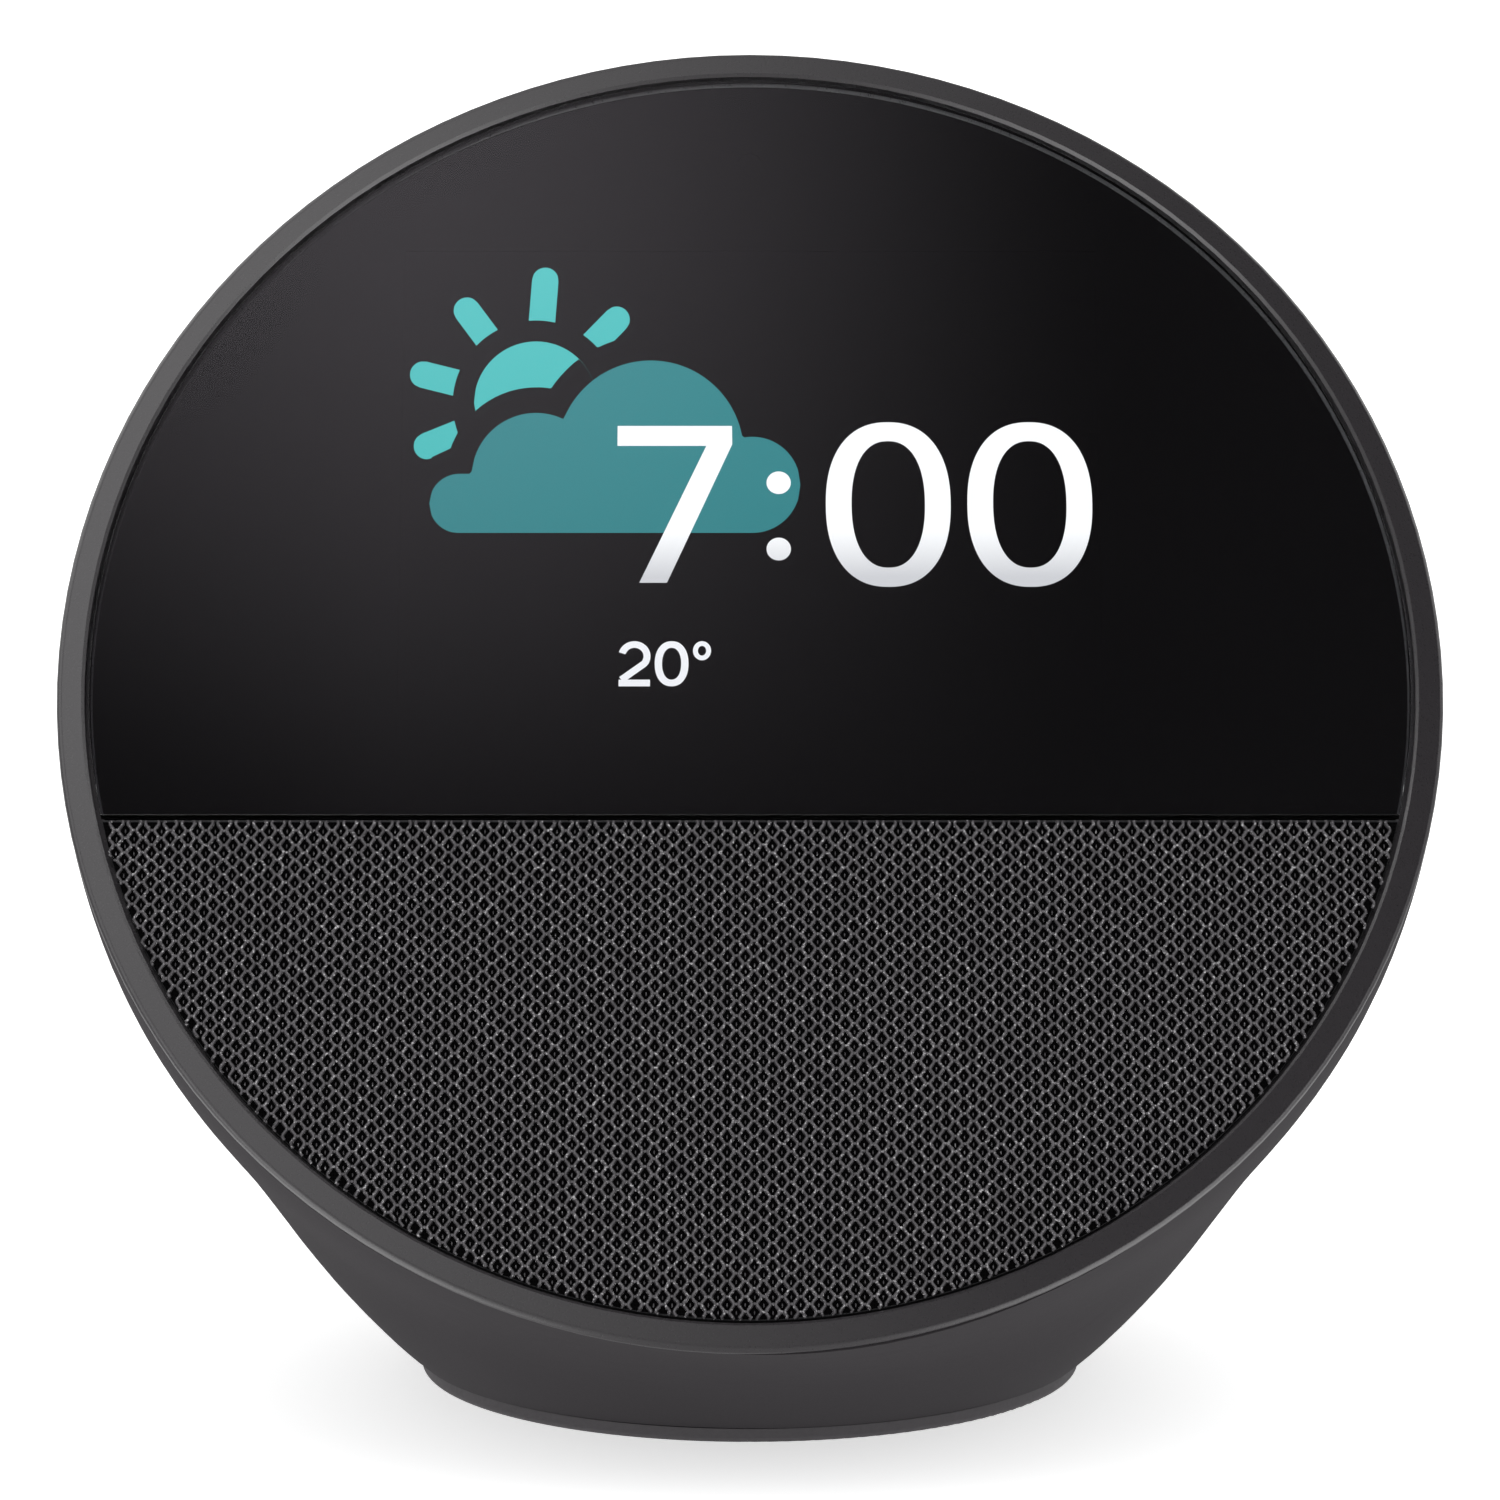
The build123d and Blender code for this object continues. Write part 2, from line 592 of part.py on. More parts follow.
def enclosure_space(grow):
    """Space of the rear chamber, shrunk by grow from the chamber's outside."""
    half_x = CHAMBER_HALF_X - grow
    inside = dome(WALL + 0.7 + grow) & slab(-half_x, half_x, -80, 80, 7.2 + grow, 130)
    front = CHASSIS_BACK_W if grow == 0 else 5
    return inside & on_face(slab(-60, 60, -70, -4 - grow, -34 + grow, front))


def speaker_enclosure():
    chamber = enclosure_space(0) - enclosure_space(CHAMBER_WALL)
    chamber -= on_face(Pos(-14, -5, -20) * Rot(90, 0, 0) * Cylinder(0.8, 8))
    return chamber


# ---------------------------------------------------------------- buttons
FLANGE_T = 0.8
FLANGE_HALF_X = 2.4
SWITCH_H = 2.6
PLUNGER_TOP = -SWITCH_BOARD_DEPTH + SWITCH_H + 0.9
BRACKET_TOP, BRACKET_T = -7.3, 0.8
PLUNGER_R = 1.3


def roof_level(x):
    """Level of the housing's inside above a point at x along the row of buttons."""
    radius = FACE_R - 3.0
    return math.sqrt(radius**2 - x**2) - radius - 1.1 * WALL


def button(x):
    lift = CREST.z_dir * BUTTON_PROUD
    skin = Pos(lift.X, lift.Y, lift.Z) * OUTER
    flange_top = roof_level(abs(x) + FLANGE_HALF_X) - 0.25
    cap = skin & on_crest(disc(x, 0, BUTTON_R, flange_top - 0.05, 4))
    cap = fillet_top(cap)
    reach = BUTTON_R + 0.9
    low = flange_top - FLANGE_T
    flange = slab(x - FLANGE_HALF_X, x + FLANGE_HALF_X, -reach, reach, low, flange_top)
    stem = disc(x, 0, 1.5, PLUNGER_TOP + 0.02, low + 0.1)
    return cap + on_crest(flange + stem)


def fillet_top(cap):
    """Rounds the visible rim of a button cap."""
    face = cap.faces().sort_by(lambda f: (f.center() - CREST.origin).dot(CREST.z_dir))[-1]
    return fillet(face.edges(), 0.35)


def plunger(x):
    return on_crest(disc(x, 0, PLUNGER_R, PLUNGER_TOP - 1.6, PLUNGER_TOP))


def switch_bodies():
    bodies = []
    for x in BUTTON_XS:
        low = -SWITCH_BOARD_DEPTH
        body = slab(x - 3, x + 3, -3, 3, low, low + SWITCH_H)
        body -= disc(x, 0, PLUNGER_R + 0.15, low + 0.4, low + SWITCH_H + 1)
        bodies.append(body)
    return on_crest(together(*bodies))


def button_bracket():
    top = BRACKET_TOP
    plate = slab(-19.5, 19.5, -4.6, 11.8, top - BRACKET_T, top)
    for x in BUTTON_XS:
        plate -= disc(x, 0, 1.75, -20, 0)
    for x, y in BUTTON_POSTS:
        plate -= disc(x, y, 2.15, -20, 0)
    for x in (-7.5, 7.5):
        plate -= disc(x, 0, 1.6, -20, 0)
    for sx in (1, -1):
        for y0 in (-4.6, 10.6):
            x0 = sx * 18.9
            plate += slab(x0 - 0.6, x0 + 0.6, y0, y0 + 1.2, -SWITCH_BOARD_DEPTH, top - BRACKET_T)
    return on_crest(plate)


def button_board():
    low = -SWITCH_BOARD_DEPTH
    board = slab(-25, 25, -4.8, 12.0, low - 1.0, low)
    for x, y in BUTTON_POSTS:
        board -= disc(x, y, 0.9, -20, 0)
    return on_crest(board)


def microphones():
    low = -SWITCH_BOARD_DEPTH
    bodies = []
    for x, y in MIC_SPOTS:
        can = slab(x - 1.3, x + 1.3, y - 1.7, y + 1.7, low, low + 1.0)
        bodies.append(can - disc(x, y, 0.4, low + 0.3, low + 3))
    return on_crest(together(*bodies))


def microphone_boots():
    """Rubber tubes that join each microphone to its hole in the housing."""
    boots = Part()
    for x, y in MIC_SPOTS:
        boots += on_crest(ring(x, y, 0.6, 1.4, -SWITCH_BOARD_DEPTH + 1.0, 2))
    kept = boots & dome(WALL + 0.12)
    return together(kept)


def button_flex():
    """Flat cable from the button board's underside to the main board."""
    x0, x1 = 10.0, 18.0
    foot = CREST.from_local_coords(Vector(0, 5.0, -SWITCH_BOARD_DEPTH - 1.0))
    local = FACE.to_local_coords(foot)
    points = [(local.Y - 0.25, local.Z), (37.4, local.Z), (37.4, BOARD_BACK_W - 1.35)]
    return on_face(bent_strip(points, x0, x1, 0.25))


# ---------------------------------------------------------------- power inlet
JACK_DEPTH = 9.5
JACK_PIN_SET = 1.0  # the pin stops this far inside the mouth
JACK_END_Y = JACK_MOUTH_Y - JACK_DEPTH
JACK_TAIL, JACK_TAIL_R = 4.0, 0.6
JACK_FRONT_Y = 24.0
POWER_BOARD_Z = JACK_Z - 6.2
POWER_BOARD_TOP = POWER_BOARD_Z + 1.2


def dc_jack():
    shape = along_y(JACK_NOSE_R, 34, JACK_MOUTH_Y)
    shape += slab(-4.5, 4.5, JACK_FRONT_Y, 35.9, POWER_BOARD_TOP, JACK_Z + 4.6)
    shape -= along_y(JACK_BORE_R, JACK_END_Y, JACK_MOUTH_Y + 1)
    shape -= along_y(JACK_TAIL_R, JACK_END_Y - JACK_TAIL, JACK_END_Y + 1)
    return shape


def dc_jack_pin():
    """Centre contact: the free pin in the socket and its thinner tail in the jack's body."""
    pin = along_y(JACK_PIN_R, JACK_END_Y, JACK_MOUTH_Y - JACK_PIN_SET)
    pin = chamfer(pin.faces().sort_by(Axis.Y)[-1].edges(), 0.2)
    return pin + along_y(JACK_TAIL_R, JACK_END_Y - JACK_TAIL, JACK_END_Y)


def power_board():
    board = slab(-11, 11, 16.5, 33.0, POWER_BOARD_Z, POWER_BOARD_TOP)
    for x, y in POWER_POSTS:
        board -= disc(x, y, 1.0, POWER_BOARD_Z - 1, POWER_BOARD_Z + 2)
    return board


HARNESS_XS = (3.9, 6.1)


def power_harness():
    """Two insulated wires from the power board up to the main board."""
    low = POWER_BOARD_TOP + SOCKET_H
    end = face_point(0, 1.0, BOARD_BACK_W - PLUG_H)
    before = face_point(0, 1.0, BOARD_BACK_W - PLUG_H - 19.0)
    wires = []
    for x in HARNESS_XS:
        route = [(x, 19.2, low), (x, 19.2, 26.0), (x, 21.0, 40.0), (x, before.Y, before.Z), (x, end.Y, end.Z)]
        wires.append(wire_run(route, 0.6, 5.0))
    return together(*wires)


def speaker_wires():
    """Pair from the driver's tags through the chamber's roof to the main board."""
    wires = []
    for tag_x, x in zip(TAG_XS, (-14.4, -13.6)):
        start = face_point(tag_x, SPEAKER_V + 21.7, -11.0)
        turn = face_point(tag_x, SPEAKER_V + 21.7, -20.0)
        low = face_point(x, SPEAKER_V + 21.7, -20.0)
        high = face_point(x, 1.0, -20.0)
        end = face_point(x, 1.0, BOARD_BACK_W - PLUG_H)
        wires.append(wire_run([start, turn, low, high, end], 0.35, 1.4))
    return together(*wires)


# ---------------------------------------------------------------- the list of nodes
def on_face_screws(spots, *sizes):
    return on_face(together(*[screw(x, v, *sizes) for x, v in spots]))


def write_parts():
    names = ("volume_down", "microphone_mute", "volume_up")
    nodes = {
        "rear_housing": rear_housing(),
        "base_plate": base_plate(),
        "base_screws": together(*[screw(x, y, 2.1, 0.55, 0.95, BASE_Z + 0.6, 5.9) for x, y in BASE_SCREWS]),
        "foot_pad": foot_pad(),
        "bezel_ring": bezel_ring(),
        "cover_glass": cover_glass(),
        "glass_adhesive": glass_adhesive(),
        "touch_film": touch_film(),
        "lcd_panel": on_face(lcd_box(0, -2.85, -1.78)),
        "lcd_backlight": on_face(lcd_box(0, -4.4, -2.85)),
        "lcd_frame": lcd_frame(),
        "display_flex": display_flex(),
        "light_sensor": light_sensor(),
        "grille_panel": grille_panel(),
        "grille_fabric": grille_fabric(),
        "front_chassis": front_chassis(),
        "bezel_screws": on_face_screws(BEZEL_SCREWS, 1.7, 0.9, 0.75, CHASSIS_BACK_W, BEZEL_BACK_W + 0.5),
        "chassis_screws": on_face_screws(CHASSIS_BOSSES, 1.9, 0.85, 0.95, CHASSIS_W - 0.9, -13.5),
        "main_board": main_board(),
        "board_parts": board_parts(),
        "board_connectors": board_connectors(),
        "soc_shield": on_face(shield_can(-16, 7, 10, 27, SHIELD_H)),
        "radio_shield": on_face(shield_can(13.5, 25.5, 13, 26, SHIELD_H)),
        "wifi_antennas": wifi_antennas(),
        "thermal_pad": thermal_pad(),
        "heat_spreader": heat_spreader(),
        "board_screws": on_face_screws(BOARD_SCREWS, 1.7, 0.9, 0.75, BOARD_BACK_W, BOARD_W + 3.2),
        "acoustic_seal": acoustic_seal(),
        "speaker_gasket": speaker_gasket(),
        "speaker_basket": speaker_basket(),
        "speaker_top_plate": speaker_top_plate(),
        "speaker_magnet": speaker_magnet(),
        "speaker_yoke": speaker_yoke(),
        "speaker_coil": speaker_coil(),
        "speaker_cone": speaker_cone(),
        "speaker_dust_cap": speaker_dust_cap(),
        "speaker_surround": speaker_surround(),
        "speaker_spider": speaker_spider(),
        "speaker_terminal": speaker_terminal(),
        "speaker_screws": on_face_screws(SPEAKER_EARS, 1.9, 0.8, 0.75, -8.5, CHASSIS_W - 0.4),
        "speaker_enclosure": speaker_enclosure(),
        "speaker_wires": speaker_wires(),
        "button_bracket": button_bracket(),
        "button_board": button_board(),
        "switch_bodies": switch_bodies(),
        "microphones": microphones(),
        "microphone_boots": microphone_boots(),
        "button_screws": on_crest(
            together(*[screw(x, y, 1.5, 0.8, 0.65, -SWITCH_BOARD_DEPTH - 1.0, -6.5) for x, y in BUTTON_POSTS])
        ),
        "button_flex": button_flex(),
        "dc_jack": dc_jack(),
        "dc_jack_pin": dc_jack_pin(),
        "power_board": power_board(),
        "power_screws": together(
            *[screw(x, y, 1.6, 0.9, 0.75, POWER_BOARD_TOP, POWER_BOARD_Z - 4) for x, y in POWER_POSTS]
        ),
        "power_harness": power_harness(),
    }
    for name, x in zip(names, BUTTON_XS):
        nodes[name + "_button"] = button(x)
        nodes[name + "_plunger"] = plunger(x)
    os.makedirs("parts", exist_ok=True)
    for name, shape in nodes.items():
        export_step(shape, f"parts/{name}.step")


write_parts()
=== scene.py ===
import json
import math

import bmesh
import bpy
import numpy as np
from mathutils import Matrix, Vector
from mathutils.bvhtree import BVHTree


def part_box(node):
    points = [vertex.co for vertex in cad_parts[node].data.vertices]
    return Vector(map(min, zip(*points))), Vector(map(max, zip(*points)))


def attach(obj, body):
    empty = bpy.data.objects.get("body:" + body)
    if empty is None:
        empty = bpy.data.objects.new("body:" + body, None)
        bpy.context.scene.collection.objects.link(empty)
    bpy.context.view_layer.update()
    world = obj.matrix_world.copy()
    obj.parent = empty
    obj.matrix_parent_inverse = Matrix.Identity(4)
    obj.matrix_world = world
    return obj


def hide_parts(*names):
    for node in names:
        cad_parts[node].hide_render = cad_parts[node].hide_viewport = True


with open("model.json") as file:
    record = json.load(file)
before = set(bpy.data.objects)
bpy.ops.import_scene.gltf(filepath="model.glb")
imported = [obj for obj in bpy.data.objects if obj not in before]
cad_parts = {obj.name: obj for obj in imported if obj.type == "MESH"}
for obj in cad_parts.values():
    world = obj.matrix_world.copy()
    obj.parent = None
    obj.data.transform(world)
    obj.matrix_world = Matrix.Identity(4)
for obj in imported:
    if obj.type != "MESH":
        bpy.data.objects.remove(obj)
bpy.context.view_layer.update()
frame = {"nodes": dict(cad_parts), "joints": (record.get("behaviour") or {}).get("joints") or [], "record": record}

# ---------------------------------------------------------------- the face and its own frame
MM = 0.001
TILT = math.radians(29)  # lean of the face from upright
FACE_R = 56.5  # outer radius of the bezel, mm
BEZEL_DROP = 0.85  # the bezel's outer edge lies this far behind its front, mm
FACE_AHEAD = 20.5  # face centre ahead of the foot's centre, mm

BEZEL_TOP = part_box("bezel_ring")[1].z / MM
FACE_CENTRE = Vector((0, -FACE_AHEAD, BEZEL_TOP - FACE_R * math.cos(TILT) + BEZEL_DROP * math.sin(TILT)))
FACE_UP = Vector((0, math.sin(TILT), math.cos(TILT)))
FACE_OUT = Vector((0, -math.cos(TILT), math.sin(TILT)))

# Places on the face: x across, v up and w out, all in mm from its centre.
GLASS_R = 53.85
GLASS_FRONT, GLASS_BACK = -0.25, -1.41  # w
GLASS_LOW = -11.68  # v of the glass's straight lower edge
FABRIC_R = 53.85
FABRIC_TOP = -12.02  # v of the fabric's straight upper edge
PICTURE_W, FIGURES_W = -1.56, -1.50  # the lit picture and figures, in the space behind the glass
DISPLAY_V = 13.26  # v of the weather picture's base line


def on_face(x, v, w):
    """A point of the face, given in millimetres, in metres in the row frame."""
    return (FACE_CENTRE + Vector((x, 0, 0)) + FACE_UP * v + FACE_OUT * w) * MM


# ---------------------------------------------------------------- node helpers
def new_material(name):
    """A material with an empty Principled shader: (material, nodes, links, shader)."""
    material = bpy.data.materials.new(name)
    material.use_nodes = True
    tree = material.node_tree
    return material, tree.nodes, tree.links, tree.nodes["Principled BSDF"]


def coordinates(nodes):
    """Object coordinates, in metres, the same for every node that starts at the origin."""
    return nodes.new("ShaderNodeTexCoord").outputs["Object"]


def noise(nodes, links, where, scale, detail=2.0, rough=0.5):
    """Noise texture at a scale in cells per metre."""
    made = nodes.new("ShaderNodeTexNoise")
    made.inputs["Scale"].default_value = scale
    made.inputs["Detail"].default_value = detail
    made.inputs["Roughness"].default_value = rough
    links.new(where, made.inputs["Vector"])
    return made.outputs["Fac"]


def spread(nodes, links, value, low, high, least=0.3, most=0.7, kind="LINEAR"):
    """Maps a value between least and most, where most noise lies, to one between low and high."""
    made = nodes.new("ShaderNodeMapRange")
    made.interpolation_type = kind
    made.inputs["From Min"].default_value = least
    made.inputs["From Max"].default_value = most
    made.inputs["To Min"].default_value = low
    made.inputs["To Max"].default_value = high
    links.new(value, made.inputs["Value"])
    return made.outputs["Result"]


def between(nodes, links, factor, first, second):
    """Colour between two colours."""
    made = nodes.new("ShaderNodeMix")
    made.data_type = "RGBA"
    made.inputs["A"].default_value = (*first, 1)
    made.inputs["B"].default_value = (*second, 1)
    links.new(factor, made.inputs["Factor"])
    return made.outputs["Result"]


def calculated(nodes, links, operation, first, second):
    """Result of a sum on two values, each a number or an output."""
    made = nodes.new("ShaderNodeMath")
    made.operation = operation
    for socket, value in zip(made.inputs, (first, second)):
        if isinstance(value, (int, float)):
            socket.default_value = value
        else:
            links.new(value, socket)
    return made.outputs[0]


def bumped(nodes, links, shader, height, distance, strength=1.0):
    """Relief of a real depth in metres on a shader."""
    made = nodes.new("ShaderNodeBump")
    made.inputs["Distance"].default_value = distance
    made.inputs["Strength"].default_value = strength
    links.new(height, made.inputs["Height"])
    links.new(made.outputs["Normal"], shader.inputs["Normal"])


def tinted(colour, share):
    """A colour made lighter or darker."""
    return tuple(min(1.0, c * share) for c in colour)


def grained(name, colour, roughness, grain, depth, contrast=0.12, metal=0.0, level=0.5):
    """Moulded or sheet surface: a slowly drifting colour, and a grain of a size and depth in metres."""
    material, nodes, links, shader = new_material(name)
    where = coordinates(nodes)
    slow = noise(nodes, links, where, 90, 3)
    fine = noise(nodes, links, where, 1 / grain, 3, 0.6)
    colours = between(nodes, links, slow, tinted(colour, 1 - contrast), tinted(colour, 1 + contrast))
    links.new(colours, shader.inputs["Base Color"])
    rough = spread(nodes, links, fine, roughness * 0.9, min(1, roughness * 1.1))
    links.new(rough, shader.inputs["Roughness"])
    shader.inputs["Metallic"].default_value = metal
    shader.inputs["Specular IOR Level"].default_value = level
    bumped(nodes, links, shader, fine, depth)
    return material


def brushed(name, colour, roughness, stretch=(1, 14, 1)):
    """Metal with fine scratches, which run across the axis of the largest scale."""
    material, nodes, links, shader = new_material(name)
    mapping = nodes.new("ShaderNodeMapping")
    mapping.inputs["Scale"].default_value = stretch
    links.new(coordinates(nodes), mapping.inputs["Vector"])
    lines = noise(nodes, links, mapping.outputs["Vector"], 900, 4)
    colours = between(nodes, links, lines, tinted(colour, 0.85), tinted(colour, 1.08))
    links.new(colours, shader.inputs["Base Color"])
    links.new(spread(nodes, links, lines, roughness * 0.8, roughness * 1.25), shader.inputs["Roughness"])
    shader.inputs["Metallic"].default_value = 1.0
    bumped(nodes, links, shader, lines, 0.000004)
    return material


WAVE_LENGTH = 0.314  # metres between the bands of a wave texture of scale 1


def woven(name, colour, pitch, depth, sheen=0.2, level=0.5):
    """Plain cloth: two crossed sets of threads, a pitch in metres apart."""
    material, nodes, links, shader = new_material(name)
    where = coordinates(nodes)
    waves = []
    for direction in ("X", "Z"):
        wave = nodes.new("ShaderNodeTexWave")
        wave.bands_direction = direction
        wave.inputs["Scale"].default_value = WAVE_LENGTH / pitch
        links.new(where, wave.inputs["Vector"])
        waves.append(wave.outputs["Fac"])
    threads = calculated(nodes, links, "MAXIMUM", *waves)
    colours = between(nodes, links, threads, tinted(colour, 0.45), tinted(colour, 1.15))
    links.new(colours, shader.inputs["Base Color"])
    shader.inputs["Roughness"].default_value = 0.9
    shader.inputs["Sheen Weight"].default_value = sheen
    shader.inputs["Specular IOR Level"].default_value = level
    bumped(nodes, links, shader, threads, depth)
    return material


# ---------------------------------------------------------------- materials of the outside
def charcoal(name, colour, roughness=0.76, level=0.17, ior=1.5):
    """Fine matte moulded plastic with a grain of about a sixth of a millimetre."""
    material, nodes, links, shader = new_material(name)
    where = coordinates(nodes)
    slow = noise(nodes, links, where, 35, 2)
    grain = noise(nodes, links, where, 6200, 3, 0.6)
    colour_share = spread(nodes, links, slow, 0.0, 1.0, 0.35, 0.65)
    colours = between(nodes, links, colour_share, tinted(colour, 0.97), tinted(colour, 1.04))
    links.new(colours, shader.inputs["Base Color"])
    rough = spread(nodes, links, grain, roughness - 0.04, roughness + 0.04)
    links.new(rough, shader.inputs["Roughness"])
    shader.inputs["Specular IOR Level"].default_value = level
    shader.inputs["IOR"].default_value = ior
    bumped(nodes, links, shader, grain, 0.000016, 0.7)
    return material


def clear_glass():
    """Cover glass: clear and polished, with faint smears."""
    material, nodes, links, shader = new_material("cover_glass")
    smears = noise(nodes, links, coordinates(nodes), 60, 4)
    links.new(spread(nodes, links, smears, 0.012, 0.03), shader.inputs["Roughness"])
    shader.inputs["Base Color"].default_value = (0.93, 0.95, 0.97, 1)
    shader.inputs["Transmission Weight"].default_value = 1.0
    shader.inputs["IOR"].default_value = 1.47
    return material


def black_film():
    """Ink and film behind the glass: almost no light comes back."""
    material, nodes, links, shader = new_material("black_film")
    slow = noise(nodes, links, coordinates(nodes), 500, 2)
    colours = between(nodes, links, slow, (0.0012, 0.0012, 0.0014), (0.0018, 0.0018, 0.002))
    links.new(colours, shader.inputs["Base Color"])
    shader.inputs["Roughness"].default_value = 0.9
    shader.inputs["Specular IOR Level"].default_value = 0.0
    return material


def knitted(name, dark, light, glint_colour):
    """Yarn of the grille cloth: a painted highlight along its crown and painted shade on its sides, set by which
    way the surface faces, with painted glints as small lighter spots where filaments would catch the light.
    """
    material, nodes, links, shader = new_material(name)
    where = coordinates(nodes)
    strands = noise(nodes, links, where, 1500, 3, 0.6)
    glint_spots = noise(nodes, links, where, 4200, 2, 0.7)
    # painted light: the yarn's colour is lighter where its surface faces straight out of the face and darker on
    # its sides, a painted highlight on the crown and painted shade on the sides
    outward = nodes.new("ShaderNodeVectorMath")
    outward.operation = "DOT_PRODUCT"
    outward.inputs[1].default_value = FACE_OUT
    links.new(nodes.new("ShaderNodeNewGeometry").outputs["True Normal"], outward.inputs[0])
    crown = spread(nodes, links, outward.outputs["Value"], 0, 1, 0.35, 0.98)
    strand_tone = spread(nodes, links, strands, 0.55, 1, 0.36, 0.64)
    colour_share = calculated(nodes, links, "MULTIPLY", crown, strand_tone)
    # from the painted shade colour of the sides to the painted highlight colour of the crown, varied by the
    # strands' own tone
    yarn = between(nodes, links, colour_share, dark, light)
    # painted glints: small spots of a much lighter colour where filaments would catch the light
    glint_mix = nodes.new("ShaderNodeMix")
    glint_mix.data_type = "RGBA"
    glint_mix.inputs["B"].default_value = (*glint_colour, 1)
    links.new(spread(nodes, links, glint_spots, 0, 1, 0.58, 0.72), glint_mix.inputs["Factor"])
    links.new(yarn, glint_mix.inputs["A"])
    links.new(glint_mix.outputs["Result"], shader.inputs["Base Color"])
    shader.inputs["Roughness"].default_value = 0.72
    shader.inputs["Sheen Weight"].default_value = 0.08
    shader.inputs["Sheen Roughness"].default_value = 0.4
    shader.inputs["Specular IOR Level"].default_value = 0.22
    bumped(nodes, links, shader, strands, 0.00002)
    return material


def lit(name, low_colour, high_colour, low_v, high_v, strength=1.0):
    """Light from the display: its colour runs from one height on the face to another."""
    material, nodes, links, shader = new_material(name)
    parts = nodes.new("ShaderNodeSeparateXYZ")
    links.new(coordinates(nodes), parts.inputs["Vector"])
    low, high = on_face(0, low_v, 0).z, on_face(0, high_v, 0).z
    share = spread(nodes, links, parts.outputs["Z"], 0, 1, low, high)
    colour = between(nodes, links, share, low_colour, high_colour)
    links.new(colour, shader.inputs["Emission Color"])
    shader.inputs["Emission Strength"].default_value = strength
    shader.inputs["Base Color"].default_value = (0.01, 0.01, 0.01, 1)
    shader.inputs["Specular IOR Level"].default_value = 0.0
    shader.inputs["Roughness"].default_value = 0.6
    return material


def circuit_board():
    """Solder mask with faint copper tracks under it."""
    material, nodes, links, shader = new_material("circuit_board")
    tracks = nodes.new("ShaderNodeTexBrick")
    tracks.inputs["Scale"].default_value = 260
    tracks.inputs["Mortar Size"].default_value = 0.06
    links.new(coordinates(nodes), tracks.inputs["Vector"])
    colours = between(nodes, links, tracks.outputs["Fac"], (0.008, 0.07, 0.035), (0.02, 0.16, 0.08))
    links.new(colours, shader.inputs["Base Color"])
    shader.inputs["Roughness"].default_value = 0.32
    bumped(nodes, links, shader, tracks.outputs["Fac"], 0.00002)
    return material


def make_materials():
    """One material for each of the record's slots."""
    return {
        "charcoal_plastic": charcoal("charcoal_plastic", (0.031, 0.028, 0.031)),
        "button_plastic": charcoal("button_plastic", (0.036, 0.0325, 0.036)),
        "black_plastic": grained("black_plastic", (0.02, 0.02, 0.022), 0.55, 0.0003, 0.00001),
        "screw_steel": brushed("screw_steel", (0.25, 0.25, 0.26), 0.38, (1, 1, 1)),
        "dark_rubber": grained("dark_rubber", (0.064, 0.059, 0.064), 0.75, 0.0004, 0.00001),
        "cover_glass": clear_glass(),
        "black_film": black_film(),
        "touch_film": black_film(),
        "lcd_panel": grained("lcd_panel", (0.0022, 0.0021, 0.0024), 0.4, 0.0002, 0.000001, level=0.0),
        "backlight": grained("backlight", (0.8, 0.8, 0.78), 0.5, 0.0006, 0.000004, 0.04),
        "steel_sheet": brushed("steel_sheet", (0.62, 0.63, 0.64), 0.32),
        "plated_steel": brushed("plated_steel", (0.55, 0.56, 0.58), 0.28, (6, 6, 1)),
        "amber_flex": grained("amber_flex", (0.55, 0.25, 0.05), 0.3, 0.0007, 0.000006),
        "grille_fabric": woven("grille_backing", (0.004, 0.0038, 0.0041), 0.00024, 0.00003, 0.0, 0.0),
        "circuit_board": circuit_board(),
        "chip_black": grained("chip_black", (0.03, 0.03, 0.03), 0.6, 0.00015, 0.000008),
        "ivory_plastic": grained("ivory_plastic", (0.62, 0.58, 0.48), 0.42, 0.0003, 0.000006, 0.05),
        "thermal_pad": grained("thermal_pad", (0.45, 0.5, 0.55), 0.8, 0.0002, 0.00002),
        "raw_aluminium": grained("raw_aluminium", (0.75, 0.75, 0.76), 0.45, 0.00012, 0.000008, 0.05, 1.0),
        "black_foam": grained("black_foam", (0.03, 0.03, 0.03), 1.0, 0.0005, 0.00015, 0.3),
        "magnet_black": grained("magnet_black", (0.06, 0.06, 0.065), 0.5, 0.0001, 0.000012, 0.2),
        "copper_coil": brushed("copper_coil", (0.7, 0.3, 0.13), 0.3, (1, 1, 30)),
        "paper_cone": grained("paper_cone", (0.04, 0.04, 0.045), 0.85, 0.0006, 0.00004, 0.25),
        "spider_cloth": woven("spider_cloth", (0.6, 0.48, 0.22), 0.0004, 0.00006),
        "wire_red": grained("wire_red", (0.45, 0.03, 0.03), 0.35, 0.0006, 0.000004),
        "nickel_brass": brushed("nickel_brass", (0.72, 0.68, 0.58), 0.22, (1, 8, 1)),
    }


def dress(node, material):
    """Gives a carried-over CAD node its material. Its shading already follows the exact CAD surfaces."""
    mesh = frame["nodes"][node].data
    mesh.materials.clear()
    mesh.materials.append(material)


def dress_cad_nodes(materials):
    """Gives every CAD node its slot's material. The ring and the sensor have a finish of their own."""
    for row in frame["record"]["subparts"]:
        dress(row["node"], materials[row["material_slot"]])
    dress("bezel_ring", charcoal("bezel_plastic", (0.020, 0.0172, 0.020), 0.30, 0.94, 1.6))
    dress("light_sensor", materials["black_film"])


# ---------------------------------------------------------------- mesh helpers
CREASE = math.radians(35)  # edges that turn by more stay sharp


